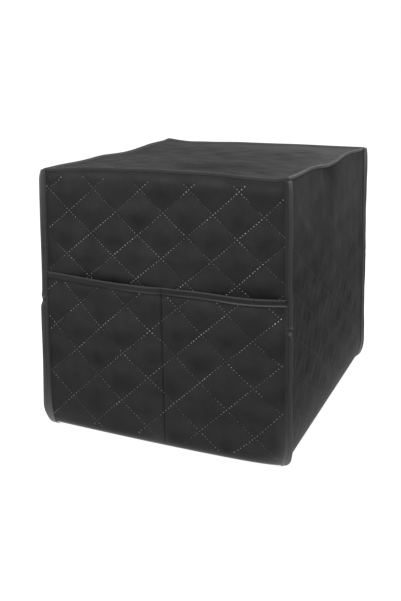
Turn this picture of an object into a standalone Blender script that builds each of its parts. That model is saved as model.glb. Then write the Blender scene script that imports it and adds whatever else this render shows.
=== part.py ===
"""Quilted cloth cover for a coffee machine, with two pockets on its front.

The cover is a soft box, open below. Five quilted panels are sewn edge to edge with their seam
allowances turned outward. Bias tape wraps every seam, so each one stands out as a narrow fin.
One more panel is sewn over the lower front and divided by a line of stitches into two pockets,
whose mouths gape a little under a folded tape. The cloth sags between its seams, its side edges
spread a little towards the hem, and the hem itself is drawn in.

The machine's top carries the cover from inside: the origin is on the underside of the top
panel, +Z is up, +X is to the right of someone who faces the pockets, and the pockets face -Y.
"""

from collections import namedtuple
from math import cos, log, pi, sin, sqrt

import bmesh
import bpy
from mathutils import Vector

# ---------------------------------------------------------------- driving dimensions, metres
COVER_HEIGHT = 0.359
PANEL_T = 0.0024
SEW_GAP = 0.0003
CORNER_GAP = 0.0005
TOP_SAG = 0.002
SIDE_BOW = 0.003
HEM_ROLL = 0.030

# Where the seams meet, at the top and at the hem, and how far each top corner has sunk. The
# cloth stands a little twisted, and it is wider at the hem than at the top.
Corner = namedtuple("Corner", "top_x top_y hem_x hem_y sunk")
CORNERS = {
    "front_left": Corner(-0.1610, -0.1570, -0.1800, -0.1745, 0.0),
    "front_right": Corner(0.1695, -0.1645, 0.1715, -0.1585, 0.0),
    "back_right": Corner(0.1705, 0.1620, 0.1760, 0.1780, 0.005),
    "back_left": Corner(-0.1600, 0.1705, -0.1685, 0.1645, 0.002),
}

# Each side runs from left to right as someone outside sees it.
Side = namedtuple("Side", "start end")
SIDES = {
    "front": Side("front_left", "front_right"),
    "right": Side("front_right", "back_right"),
    "back": Side("back_right", "back_left"),
    "left": Side("back_left", "front_left"),
}

# Rises and dips of the top seam: place along the side, lift in metres, and half length.
EdgeWave = namedtuple("EdgeWave", "side at lift reach")
EDGE_WAVES = (
    EdgeWave("front", 0.20, 0.0020, 0.20),
    EdgeWave("front", 0.48, 0.0050, 0.50),
    EdgeWave("front", 0.76, 0.0014, 0.20),
    EdgeWave("front", 1.00, 0.0020, 0.05),
    EdgeWave("right", 0.00, 0.0020, 0.20),
    EdgeWave("right", 0.24, 0.0026, 0.20),
    EdgeWave("right", 0.50, -0.0022, 0.18),
    EdgeWave("right", 0.74, 0.0024, 0.20),
    EdgeWave("back", 0.30, 0.0004, 0.20),
    EdgeWave("back", 0.78, -0.0014, 0.20),
    EdgeWave("back", 0.88, -0.0012, 0.10),
    EdgeWave("back", 1.00, 0.0014, 0.06),
    EdgeWave("left", 0.00, 0.0014, 0.06),
    EdgeWave("left", 0.40, -0.0034, 0.26),
    EdgeWave("left", 0.74, -0.0012, 0.18),
)
# How far each side's hem draws inward, and how far it lifts at the side's two ends, with how
# gently the lift dies away from them.
HEM_DRAW = {"front": 0.0050, "right": 0.0095, "back": 0.0080, "left": 0.0080}
HemLift = namedtuple("HemLift", "start end start_power end_power")
HEM_LIFTS = {
    "front": HemLift(0.0, 0.004, 1.0, 14.0),
    "right": HemLift(0.004, 0.018, 1.0, 0.9),
    "back": HemLift(0.018, 0.004, 1.5, 1.0),
    "left": HemLift(0.004, 0.0, 2.0, 1.0),
}
# How far the middle of the front hem swings outward.
FRONT_HEM_BOW = 0.0025
# The pockets. Each spans part of the front, as shares of it from its left end, and gapes most at
# its peak, a share of its own width.
Pocket = namedtuple("Pocket", "start end peak gape")
POCKETS = (Pocket(0.0, 0.523, 0.68, 0.0068), Pocket(0.523, 1.0, 0.72, 0.0068))
# The mouths hang between the side seams and the divider: small rises and dips of their edge.
MouthRise = namedtuple("MouthRise", "at lift reach")
MOUTH_RISES = (
    MouthRise(0.0, 0.0006, 0.26),
    MouthRise(0.523, -0.0010, 0.16),
    MouthRise(0.74, 0.0007, 0.16),
    MouthRise(1.0, 0.0019, 0.24),
)
MOUTH_HEIGHT = 0.2242
MOUTH_BAND = 0.0072
MOUTH_BAND_T = 0.0034

# Outlines of the folded tapes, in millimetres: distance along the fin and half width.
TapePoint = namedtuple("TapePoint", "along half")
SIDE_TAPE = (
    TapePoint(-3.0, 0.4),
    TapePoint(-1.7, 1.6),
    TapePoint(0.4, 1.8),
    TapePoint(3.4, 1.9),
    TapePoint(6.8, 2.1),
    TapePoint(8.7, 1.2),
)
TOP_TAPE = (
    TapePoint(-3.0, 0.4),
    TapePoint(-1.7, 1.6),
    TapePoint(0.0, 1.4),
    TapePoint(1.4, 1.2),
    TapePoint(2.4, 0.5),
)
# How far each side tape stands out, as a share of the outline above: at the hem, just below its
# pucker, just above it and at the top.
TAPE_REACH = {
    "front_left": (1.40, 1.17, 0.92, 0.75),
    "front_right": (1.0, 1.0, 1.0, 1.0),
    "back_right": (0.5, 0.5, 0.5, 0.5),
    "back_left": (0.8, 0.8, 0.8, 0.8),
}
# Outline of the mouth tape as fractions of its thickness and of its height.
MOUTH_OUTLINE = (
    (0.0, 0.12), (0.0, 0.88), (0.3, 1.0), (0.7, 1.0),
    (1.0, 0.86), (1.0, 0.14), (0.7, 0.0), (0.3, 0.0),
)

# The crease where the cover was folded flat: each side tape puckers there.
PUCKER_HEIGHT = 0.191
PUCKER_REACH = 0.009
PUCKER_SHORTEN = 0.30
# The side tapes narrow towards their cut ends.
END_TAPER = 0.012
END_LENGTH = 0.45

# Grid sizes: columns across and rows up each panel.
Grid = namedtuple("Grid", "columns rows")
SIDE_GRIDS = {
    "front": Grid(15, 15),
    "right": Grid(16, 16),
    "back": Grid(12, 13),
    "left": Grid(12, 13),
}
TOP_GRID = Grid(18, 18)
POCKET_GRID = Grid(26, 12)
# Heights of the lowest rows, close together where the hem curves in. Every upright panel has
# them, so the pocket panel stays clear of the front one.
HEM_ROWS = (0.0, 0.006, 0.013, 0.021, 0.031)

EDGE_INSET = PANEL_T + CORNER_GAP
MM = 0.001


def blend(a, b, t):
    """Return the value at t on the way from a to b."""
    return a + (b - a) * t


def bell(t):
    """Return a smooth bump that is 1 at 0 and falls to 0 at -1 and 1."""
    return cos(pi * t / 2) ** 2 if abs(t) < 1 else 0.0


# ---------------------------------------------------------------- the cover's outer form
def corner_at(name, t):
    """Return a corner's place in plan at a share t of the way from the hem to the top."""
    corner = CORNERS[name]
    return Vector((blend(corner.hem_x, corner.top_x, t), blend(corner.hem_y, corner.top_y, t), 0))


def outward(side):
    """Return the unit vector that points straight out of a side."""
    along = corner_at(SIDES[side].end, 0.5) - corner_at(SIDES[side].start, 0.5)
    return Vector((along.y, -along.x, 0)).normalized()


def side_width(side):
    """Return the width of a side at half height."""
    return (corner_at(SIDES[side].end, 0.5) - corner_at(SIDES[side].start, 0.5)).length


def edge_rise(side, s):
    """Return the rise of the top seam, from its highest corners, at a share s along a side."""
    sunk = blend(CORNERS[SIDES[side].start].sunk, CORNERS[SIDES[side].end].sunk, s)
    waves = (wave for wave in EDGE_WAVES if wave.side == side)
    return sum(wave.lift * bell((s - wave.at) / wave.reach) for wave in waves) - sunk


def top_rise(u, v):
    """Return the rise of the top panel's outer face, which hangs between its four seams."""
    across = blend(edge_rise("front", u), edge_rise("back", 1 - u), v)
    along = blend(edge_rise("left", 1 - v), edge_rise("right", v), u)
    front = blend(CORNERS["front_left"].sunk, CORNERS["front_right"].sunk, u)
    back = blend(CORNERS["back_left"].sunk, CORNERS["back_right"].sunk, u)
    return across + along + blend(front, back, v) - TOP_SAG * (sin(pi * u) * sin(pi * v)) ** 0.7


# Heights above the origin: the underside of the top panel's middle lies at zero.
SEAM_Z = PANEL_T - top_rise(0.5, 0.5)
HEM_Z = SEAM_Z - COVER_HEIGHT


def hem_pull(side, height):
    """Return how far the drawn-in hem pulls a side inward at a height above the hem."""
    return HEM_DRAW[side] * max(0.0, 1 - height / HEM_ROLL) ** 2


def hem_lift(side, s, height):
    """Return how far a side's cloth is lifted at a share s along it: most at its hem."""
    lift = HEM_LIFTS[side]
    at_hem = lift.start * (1 - s) ** lift.start_power + lift.end * s ** lift.end_power
    return at_hem * max(0.0, 1 - height / COVER_HEIGHT) ** 2


def neighbour(side, step):
    """Return the side a step further round the cover."""
    names = list(SIDES)
    return names[(names.index(side) + step) % len(names)]


def side_top(side, s):
    """Return the height above the hem at which a side's cloth ends under the top seam."""
    return COVER_HEIGHT + edge_rise(side, s) - EDGE_INSET


def side_point(side, s, height, out=0.0):
    """Return a point of a side's outer face: share s along it, height above the hem."""
    t = height / COVER_HEIGHT
    start = corner_at(SIDES[side].start, t)
    end = corner_at(SIDES[side].end, t)
    along = (end - start).normalized()
    bow = SIDE_BOW * sin(pi * s) * sin(pi * min(1.0, t))
    if side == "front":
        bow += FRONT_HEM_BOW * sin(pi * s) * max(0.0, 1 - t) ** 2
    before, after = hem_pull(neighbour(side, -1), height), hem_pull(neighbour(side, 1), height)
    point = start.lerp(end, s) + along * (before * (1 - s) - after * s)
    point += outward(side) * (bow - hem_pull(side, height) + out)
    point.z = HEM_Z + height + hem_lift(side, s, height)
    return point


def row_height(v, rows, top):
    """Return the height of a grid row of an upright panel whose upper edge is at top."""
    row, last = round(v * rows), len(HEM_ROWS) - 1
    if row <= last:
        return HEM_ROWS[row]
    return blend(HEM_ROWS[last], top, (row - last) / (rows - last))


# ---------------------------------------------------------------- mesh helpers
def new_object(name, bm, material):
    """Turn a bmesh into a named object of the cover's collection."""
    bmesh.ops.recalc_face_normals(bm, faces=bm.faces)
    mesh = bpy.data.meshes.new(name)
    bm.to_mesh(mesh)
    bm.free()
    mesh.materials.append(material)
    piece = bpy.data.objects.new(name, mesh)
    cover.objects.link(piece)
    return piece


def cloth_panel(name, grid, place, offset, material):
    """Make a closed sheet: place(u, v) gives its outer face, and offset leads to the other."""
    bm = bmesh.new()
    bmesh.ops.create_grid(bm, x_segments=grid.columns, y_segments=grid.rows, size=0.5)
    for vert in bm.verts:
        vert.co = place(vert.co.x + 0.5, vert.co.y + 0.5)
    copied = bmesh.ops.extrude_face_region(bm, geom=list(bm.faces), use_keep_orig=True)
    for item in copied["geom"]:
        if isinstance(item, bmesh.types.BMVert):
            item.co += offset
    return new_object(name, bm, material)


def loft(name, sections, closed, material):
    """Make a closed tube through sections of equal count, either a loop or with flat ends."""
    bm = bmesh.new()
    rings = [[bm.verts.new(point) for point in section] for section in sections]
    count = len(rings[0])
    followers = rings[1:] + rings[:1] if closed else rings[1:]
    for ring, after in zip(rings, followers):
        for i in range(count):
            j = (i + 1) % count
            bm.faces.new((ring[i], ring[j], after[j], after[i]))
    if not closed:
        bm.faces.new(rings[0])
        bm.faces.new(rings[-1])
    return new_object(name, bm, material)


def tape_outline(points, length=1.0):
    """Return a tape's outline as (along, across) pairs in metres, its tongue scaled by length."""
    half = [(p.along * MM * (length if p.along > 0 else 1.0), p.half * MM) for p in points]
    return [(along, -across) for along, across in half] + half[::-1]


# ---------------------------------------------------------------- materials
def cloth(name, grey, roughness):
    """Return a Principled cloth material of one grey."""
    material = bpy.data.materials.new(name)
    material.use_nodes = True
    shader = material.node_tree.nodes["Principled BSDF"]
    shader.inputs["Base Color"].default_value = (grey, grey, grey * 1.02, 1)
    shader.inputs["Roughness"].default_value = roughness
    shader.inputs["Metallic"].default_value = 0.0
    material.diffuse_color = (grey, grey, grey * 1.02, 1)
    return material


# ---------------------------------------------------------------- panels
def make_side_panel(side, material):
    """Make one of the four upright panels, its hem included."""
    grid = SIDE_GRIDS[side]
    inset = EDGE_INSET / side_width(side)

    def place(u, v):
        s = blend(inset, 1 - inset, u)
        return side_point(side, s, row_height(v, grid.rows, side_top(side, s)))

    return cloth_panel(f"panel_{side}", grid, place, outward(side) * -PANEL_T, material)


def make_top_panel(material):
    """Make the sagging top panel."""
    front_left, front_right = corner_at("front_left", 1), corner_at("front_right", 1)
    back_left, back_right = corner_at("back_left", 1), corner_at("back_right", 1)
    inset_u = EDGE_INSET / side_width("front")
    inset_v = EDGE_INSET / side_width("right")

    def place(u, v):
        u = blend(inset_u, 1 - inset_u, u)
        v = blend(inset_v, 1 - inset_v, v)
        point = front_left.lerp(front_right, u).lerp(back_left.lerp(back_right, u), v)
        point.z = SEAM_Z + top_rise(u, v)
        return point

    return cloth_panel("panel_top", TOP_GRID, place, Vector((0, 0, -PANEL_T)), material)


# ---------------------------------------------------------------- pockets
def mouth_height(s):
    """Return the height above the hem of the pocket mouths' upper edge."""
    return MOUTH_HEIGHT + sum(rise.lift * bell((s - rise.at) / rise.reach) for rise in MOUTH_RISES)


def pocket_gap(s, height):
    """Return how far the pocket panel stands off the front panel, past the sewing gap."""
    for pocket in POCKETS:
        if pocket.start <= s <= pocket.end:
            share = (s - pocket.start) / (pocket.end - pocket.start)
            skew = log(0.5) / log(pocket.peak)
            rise = sin(pi / 2 * min(1.0, height / mouth_height(s)))
            return pocket.gape * max(0.0, sin(pi * share ** skew)) ** 0.8 * rise ** 1.2
    return 0.0


def pocket_columns(u):
    """Return the share along the front of a grid column, with one column on the divider."""
    divider = POCKETS[0].end
    inset = EDGE_INSET / side_width("front")
    if u <= 0.5:
        return blend(inset, divider, u * 2)
    return blend(divider, 1 - inset, u * 2 - 1)


def make_pocket_panel(material):
    """Make the panel over the lower front, sewn down at its sides, hem and divider."""
    def place(u, v):
        s = pocket_columns(u)
        height = row_height(v, POCKET_GRID.rows, mouth_height(s) - MOUTH_BAND - SEW_GAP)
        return side_point("front", s, height, SEW_GAP + PANEL_T + pocket_gap(s, height))

    offset = outward("front") * -PANEL_T
    return cloth_panel("pocket_panel", POCKET_GRID, place, offset, material)


def make_mouth_tape(material):
    """Make the folded tape along the pockets' mouths."""
    sections = []
    for column in range(POCKET_GRID.columns + 1):
        s = pocket_columns(column / POCKET_GRID.columns)
        foot = mouth_height(s) - MOUTH_BAND
        stand_off = SEW_GAP + pocket_gap(s, foot)
        sections.append([
            side_point("front", s, foot + rise * MOUTH_BAND, stand_off + out * MOUTH_BAND_T)
            for out, rise in MOUTH_OUTLINE
        ])
    return loft("pocket_binding", sections, False, material)


# ---------------------------------------------------------------- seam tapes
def tape_heights(top):
    """Return the heights of a side tape's sections, close together where its form changes."""
    kink, reach = PUCKER_HEIGHT, PUCKER_REACH
    near_hem = [0.0, 0.004, END_TAPER, 0.020, HEM_ROLL]
    near_kink = [kink - reach, kink - reach / 2, kink, kink + reach / 2, kink + reach]
    near_top = [top - END_TAPER, top - END_TAPER / 2, top]
    middle = [0.070, 0.105, 0.145, 0.230, 0.270, 0.308]
    return sorted(near_hem + near_kink + near_top + middle)


def tape_reach(name, height):
    """Return how far a side tape stands out at a height above the hem, as a share of its outline."""
    at_hem, below, above, at_top = TAPE_REACH[name]
    low, high = PUCKER_HEIGHT - PUCKER_REACH, PUCKER_HEIGHT + PUCKER_REACH
    if height < low:
        return blend(at_hem, below, height / low)
    if height < high:
        return blend(below, above, (height - low) / (high - low))
    return blend(above, at_top, (height - high) / (COVER_HEIGHT - high))


def make_side_tape(name, side_before, side_after, material):
    """Make the tape down the seam between two sides, standing out midway between them."""
    before, after = outward(side_before), outward(side_after)
    fin = (before + after).normalized()
    across = Vector((-fin.y, fin.x, 0))
    top = side_top(side_after, 0.0)
    sections = []
    for height in tape_heights(top):
        centre = corner_at(name, height / COVER_HEIGHT)
        centre -= before * hem_pull(side_before, height) + after * hem_pull(side_after, height)
        centre.z = HEM_Z + height + hem_lift(side_after, 0.0, height)
        from_end = min(height, top - height)
        taper = blend(END_LENGTH, 1.0, min(1.0, from_end / END_TAPER) ** 0.6)
        kink = bell((height - PUCKER_HEIGHT) / PUCKER_REACH)
        reach = tape_reach(name, height) * taper * (1 - PUCKER_SHORTEN * kink)
        outline = tape_outline(SIDE_TAPE, reach)
        sections.append([centre + fin * a + across * w for a, w in outline])
    return loft(f"binding_{name}", sections, False, material)


def make_top_tape(material):
    """Make the one tape that runs round the top seam, mitred at the corners."""
    outline = tape_outline(TOP_TAPE)
    sections = []
    for side, ends in SIDES.items():
        before, here = outward(neighbour(side, -1)), outward(side)
        mitre = (before + here) / (1 + before.dot(here))
        columns = SIDE_GRIDS[side].columns
        corner = corner_at(ends.start, 1)
        corner.z = SEAM_Z + edge_rise(side, 0.0)
        sections.append(tape_section(corner, mitre, outline))
        for column in range(columns + 1):
            s = blend(0.018, 0.982, column / columns)
            point = corner_at(ends.start, 1).lerp(corner_at(ends.end, 1), s)
            point.z = SEAM_Z + edge_rise(side, s)
            sections.append(tape_section(point, here, outline))
    return loft("binding_top", sections, True, material)


def tape_section(point, out, outline):
    """Return a top tape's section at a point: its fin leans halfway between out and up."""
    up = Vector((0, 0, 1))
    return [point + (out * (a - w) + up * (a + w)) / sqrt(2) for a, w in outline]


# ---------------------------------------------------------------- build
for leftover in list(bpy.data.objects):
    bpy.data.objects.remove(leftover, do_unlink=True)

cover = bpy.data.collections.new("coffee_machine_cover")
bpy.context.scene.collection.children.link(cover)

for side_name in SIDES:
    make_side_panel(side_name, cloth(f"quilted_{side_name}", 0.030, 0.85))
make_top_panel(cloth("quilted_top", 0.042, 0.85))
make_pocket_panel(cloth("quilted_pocket", 0.030, 0.85))
make_mouth_tape(cloth("mouth_tape", 0.050, 0.7))
for corner_name, (side_a, side_b) in {
    "front_left": ("left", "front"),
    "front_right": ("front", "right"),
    "back_right": ("right", "back"),
    "back_left": ("back", "left"),
}.items():
    make_side_tape(corner_name, side_a, side_b, cloth(f"tape_{corner_name}", 0.055, 0.7))
make_top_tape(cloth("tape_top", 0.055, 0.7))
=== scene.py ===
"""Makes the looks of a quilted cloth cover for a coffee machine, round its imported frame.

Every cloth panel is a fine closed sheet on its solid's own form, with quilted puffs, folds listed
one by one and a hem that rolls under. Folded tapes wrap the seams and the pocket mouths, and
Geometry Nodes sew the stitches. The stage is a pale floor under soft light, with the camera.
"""

from collections import namedtuple
from math import cos, hypot, log, pi, radians, sin

import bpy
import numpy as np
from mathutils import Matrix, Vector


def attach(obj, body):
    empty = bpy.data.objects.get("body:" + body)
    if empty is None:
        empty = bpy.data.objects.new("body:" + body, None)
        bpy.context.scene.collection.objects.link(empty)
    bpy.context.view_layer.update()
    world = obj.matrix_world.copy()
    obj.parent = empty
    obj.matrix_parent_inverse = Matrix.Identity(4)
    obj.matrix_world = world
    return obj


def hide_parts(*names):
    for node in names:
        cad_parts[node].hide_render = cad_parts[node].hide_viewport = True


bl_info = {
    "name": "Coffee Machine Cover",
    "version": (1, 0, 0),
    "blender": (4, 5, 0),
    "location": "View3D > Sidebar > Cover",
    "description": "Makes a quilted cover with two pockets on its front, and a stage for it",
    "category": "Object",
}

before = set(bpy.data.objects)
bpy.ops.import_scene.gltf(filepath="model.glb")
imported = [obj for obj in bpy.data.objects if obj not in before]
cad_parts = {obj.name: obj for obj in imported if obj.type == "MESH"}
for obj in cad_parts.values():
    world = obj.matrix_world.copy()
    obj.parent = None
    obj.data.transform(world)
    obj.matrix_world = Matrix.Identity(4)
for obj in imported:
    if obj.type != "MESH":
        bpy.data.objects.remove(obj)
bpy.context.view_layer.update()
BODY = "root"
MM = 0.001

# ---------------------------------------------------------------- the cover's form, metres
# These sizes and the form functions below are the frame's own.
COVER_HEIGHT = 0.359
PANEL_T = 0.0024
SEW_GAP = 0.0003
CORNER_GAP = 0.0005
EDGE_INSET = PANEL_T + CORNER_GAP
SEAM_TIP = 0.0005
TOP_SAG = 0.002
TOP_SAG_POWER = 0.7
SIDE_BOW = 0.003

# Each corner's place in plan at the top and at the hem, and how far its top has sunk.
Corner = namedtuple("Corner", "top_x top_y hem_x hem_y sunk")
CORNERS = {
    "front_left": Corner(-0.1610, -0.1570, -0.1800, -0.1745, 0.0),
    "front_right": Corner(0.1695, -0.1645, 0.1715, -0.1585, 0.0),
    "back_right": Corner(0.1705, 0.1620, 0.1760, 0.1780, 0.005),
    "back_left": Corner(-0.1600, 0.1705, -0.1685, 0.1645, 0.002),
}
Side = namedtuple("Side", "start end")
SIDES = {
    "front": Side("front_left", "front_right"),
    "right": Side("front_right", "back_right"),
    "back": Side("back_right", "back_left"),
    "left": Side("back_left", "front_left"),
}
# The waves of the top seam: where along which side, how far it rises and over what share.
EdgeWave = namedtuple("EdgeWave", "side at lift reach")
EDGE_WAVES = (
    EdgeWave("front", 0.20, 0.0020, 0.20),
    EdgeWave("front", 0.48, 0.0050, 0.50),
    EdgeWave("front", 0.76, 0.0014, 0.20),
    EdgeWave("front", 1.00, 0.0020, 0.05),
    EdgeWave("right", 0.00, 0.0020, 0.20),
    EdgeWave("right", 0.24, 0.0026, 0.20),
    EdgeWave("right", 0.50, -0.0022, 0.18),
    EdgeWave("right", 0.74, 0.0024, 0.20),
    EdgeWave("back", 0.30, 0.0004, 0.20),
    EdgeWave("back", 0.78, -0.0014, 0.20),
    EdgeWave("back", 0.88, -0.0012, 0.10),
    EdgeWave("back", 1.00, 0.0014, 0.06),
    EdgeWave("left", 0.00, 0.0014, 0.06),
    EdgeWave("left", 0.40, -0.0034, 0.26),
    EdgeWave("left", 0.74, -0.0012, 0.18),
)
# How far each side's hem lifts at the side's two ends, and how gently the lift dies away.
HemLift = namedtuple("HemLift", "start end start_power end_power")
HEM_LIFTS = {
    "front": HemLift(0.0, 0.004, 1.0, 14.0),
    "right": HemLift(0.004, 0.018, 1.0, 0.9),
    "back": HemLift(0.018, 0.004, 1.5, 1.0),
    "left": HemLift(0.004, 0.0, 2.0, 1.0),
}
FRONT_HEM_BOW = 0.0025
# Where along the front each pocket starts and ends, where in it the mouth is widest and how far
# it gapes there. The powers round its belly from side to side and close it towards its foot.
Pocket = namedtuple("Pocket", "start end peak gape")
POCKETS = (Pocket(0.0, 0.523, 0.68, 0.0068), Pocket(0.523, 1.0, 0.72, 0.0068))
BELLY_POWER = 0.8
FOOT_POWER = 1.2
DIVIDER = POCKETS[0].end
MouthRise = namedtuple("MouthRise", "at lift reach")
MOUTH_RISES = (
    MouthRise(0.0, 0.0006, 0.26),
    MouthRise(0.523, -0.0010, 0.16),
    MouthRise(0.74, 0.0007, 0.16),
    MouthRise(1.0, 0.0019, 0.24),
)
MOUTH_HEIGHT = 0.2242
MOUTH_BAND = 0.0072
# How far below the mouth's edge its cloth ends, inside the tape.
MOUTH_TAPE_COVERS = 0.0018
# How far each side tape stands out, as a share of its section, at the hem, below its pucker,
# above it and at the top.
TAPE_REACH = {
    "front_left": (1.40, 1.17, 0.92, 0.75),
    "front_right": (1.0, 1.0, 1.0, 1.0),
    "back_right": (0.5, 0.5, 0.5, 0.5),
    "back_left": (0.8, 0.8, 0.8, 0.8),
}
PUCKER_HEIGHT = 0.191
PUCKER_REACH = 0.009

# ---------------------------------------------------------------- sewing sizes, millimetres
# A panel is laid out flat from its top left seam: x to the right and y down.
LAY_HEIGHT = 364.0
LAY_WIDTH = 340.0
GRID_STEP = 2.35
# The finer columns beside the pockets' divider: their step and how many lie to either side.
FINE_STEP = 0.9
FINE_COLUMNS = 6

# A lattice gives the crossings of the quilting lines: where the first one lies, the step to
# the next column and the step to the next row, both half a diamond, and how the steps change
# with column squared, column times row and row squared where the cloth is stretched.
Lattice = namedtuple("Lattice", "x y column_x column_y row_x row_y stretch_x stretch_y odd seed")
EVEN = (0.0, 0.0, 0.0)
LATTICES = {
    "front": Lattice(
        7.8, 23.7, 36.6, -1.85, -3.95, 28.5, (-0.30, 0.30, 0.17), (0.06, -0.08, 0.04), 0, 11
    ),
    "pocket": Lattice(
        21.0, 174.0, 37.5, -3.75, -5.3, 33.0, (-0.31, 0.57, 0.07), (0.21, -0.43, 0.63), 1, 23
    ),
    "right": Lattice(25.0, 30.0, 37.5, 0.6, 0.7, 27.5, EVEN, EVEN, 0, 37),
    "back": Lattice(16.0, 20.0, 36.8, 0.4, -0.5, 28.8, EVEN, EVEN, 0, 41),
    "left": Lattice(5.0, 31.0, 36.6, -0.7, 0.4, 28.6, EVEN, EVEN, 0, 53),
    "top": Lattice(12.0, 18.0, 36.8, 0.5, -0.6, 28.9, EVEN, EVEN, 0, 67),
}
# How many lines run each way from the lattice's first, and the stitches between two crossings.
LINE_REACH = 14
STITCHES_PER_EDGE = 10
# How far the lines stray from an even lattice, and over how many crossings.
Stray = namedtuple("Stray", "far reach")
STRAY_X, STRAY_Y = Stray(0.7, 3.1), Stray(0.6, 2.7)
# The names of what a stitch's point carries: its outward normal and the way it runs.
STITCH_LIE = ("stitch_normal", "stitch_along")
# What is added to a lattice's seed for each kind of chance.
SEED_STRAY_X, SEED_STRAY_Y, SEED_SWELL, SEED_THREAD, SEED_PUFF_SHADE = 1, 2, 5, 9, 13

# The stitches' tone in each of the two families of lines, and how far their middle stands above the
# cloth, or below it where the thread has sunk in. The tones hold a painted glint: bright on the
# front and pocket, brighter on the falling lines than on the rising ones, and dark on the right and
# top panels, where no glint shows.
Quilting = namedtuple("Quilting", "falling_tone rising_tone proud")
QUILTING = {
    "front": Quilting(0.78, 0.5, 0.25),
    "pocket": Quilting(0.8, 0.52, 0.25),
    "right": Quilting(0.03, 0.026, -0.15),
    "back": Quilting(0.5, 0.34, 0.25),
    "left": Quilting(0.5, 0.34, 0.25),
    "top": Quilting(0.06, 0.06, -0.15),
}
# A stitch's tone differs by chance from this low to this high, and its place along the line by this
# share of a diamond's edge. The thread's painted glint comes and goes about a mean, down to a
# least.
TONE_SCATTER, PLACE_SCATTER = (0.72, 1.28), 0.012
SHINE, LEAST_SHINE = 0.62, 0.18

# A diamond's puff: a low power makes it full, and it slumps this much towards its lower end.
PUFF_POWER = 0.55
PUFF_SLUMP = 0.30
# How full each panel's padding stands, and how much of it shows on the reverse.
PUFF_SHARE = {"front": 1.9, "pocket": 1.9, "right": 0.3, "back": 1.4, "left": 1.4, "top": 0.4}
REVERSE_PUFF = {"front": 0.2, "pocket": 0.0, "right": 0.3, "back": 0.3, "left": 0.3, "top": 0.3}

# Where puffs and folds fade: from how far off a seam, and over what distance from there.
SIDE_FADE, HEM_FADE, TOP_FADE, MOUTH_FADE = (2.0, 9), (9, 13), (1, 9), (0, 8)
TOP_PANEL_FADE, DIVIDER_FADE, BEHIND_POCKET_FADE = (7.0, 8), (0.6, 10), (-14, 16)
# Behind the pockets the front lies this much flatter, and the pocket has no deeper folds.
BEHIND_POCKET = 0.12
POCKET_FOLD_DEPTH = 0.25
DIVIDER_GROOVE, DIVIDER_HALF_WIDTH = 1.5, 1.2
# The slow swells of the side panels and of the top: how far, and from crest to crest.
SIDE_SWELL, TOP_SWELL = (0.35, 60), (0.5, 70)

# Folds listed one by one: from one place to another on the flat panel, how far they rise (below
# zero for a trough), their half width and how far they bend sideways, all in millimetres.
Fold = namedtuple("Fold", "x0 y0 x1 y1 rise width bend")
FOLDS = {
    "front": (
        Fold(0, 118, 52, 150, -1.2, 14, 4),
        Fold(250, 150, 335, 132, -1.3, 15, -4),
        Fold(30, 6, 34, 60, 0.5, 9, 1),
        Fold(322, 20, 318, 130, -0.6, 9, 2),
    ),
    "pocket": (
        Fold(40, 170, 60, 260, -0.6, 18, 4),
        Fold(120, 178, 128, 300, 0.6, 20, -6),
        Fold(250, 175, 236, 290, 0.5, 22, 6),
        Fold(318, 180, 322, 330, -0.6, 12, 3),
        Fold(10, 320, 60, 352, 0.8, 10, 3),
    ),
    "right": (
        Fold(120, 2, 190, 34, -2.6, 17, 4),
        Fold(160, 36, 180, 120, 1.2, 10, -4),
        Fold(20, 20, 90, 90, 0.8, 7, 3),
        Fold(200, 60, 300, 130, -0.9, 12, 5),
        Fold(60, 130, 150, 165, -0.8, 9, 4),
        Fold(190, 160, 280, 235, 0.8, 10, -6),
        Fold(310, 60, 316, 220, -0.9, 8, 3),
        Fold(100, 240, 190, 300, -0.7, 12, 5),
        Fold(230, 250, 300, 320, 0.8, 12, -5),
    ),
    "back": (
        Fold(60, 10, 90, 120, -1.0, 14, 6),
        Fold(150, 20, 160, 200, 0.9, 18, -8),
        Fold(260, 10, 230, 150, -1.1, 13, 5),
        Fold(40, 180, 130, 300, 0.8, 16, 6),
        Fold(200, 220, 300, 310, -0.9, 14, -6),
    ),
    "left": (
        Fold(110, 4, 150, 70, -1.6, 15, 5),
        Fold(200, 30, 240, 160, 0.9, 12, -5),
        Fold(40, 60, 60, 200, -0.9, 12, 4),
        Fold(140, 180, 250, 280, -0.9, 14, 6),
        Fold(60, 230, 110, 320, 0.8, 14, -4),
    ),
    "top": (
        Fold(100, 20, 106, 330, 1.1, 7, 5),
        Fold(190, 210, 262, 300, -1.4, 9, 4),
        Fold(150, 120, 230, 240, -1.6, 16, 6),
        Fold(60, 60, 150, 180, -1.0, 15, 8),
        Fold(230, 60, 300, 170, -0.9, 13, -6),
        Fold(20, 180, 110, 290, 0.9, 11, 5),
        Fold(170, 285, 215, 292, 1.2, 5, 1),
        Fold(210, 255, 250, 262, 0.9, 5, 1),
        Fold(300, 215, 330, 300, -1.0, 8, 3),
        Fold(296, 90, 330, 150, 0.8, 8, 3),
        Fold(30, 30, 80, 90, 0.7, 10, 4),
        Fold(110, 250, 190, 275, -0.9, 8, 2),
    ),
}
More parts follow.
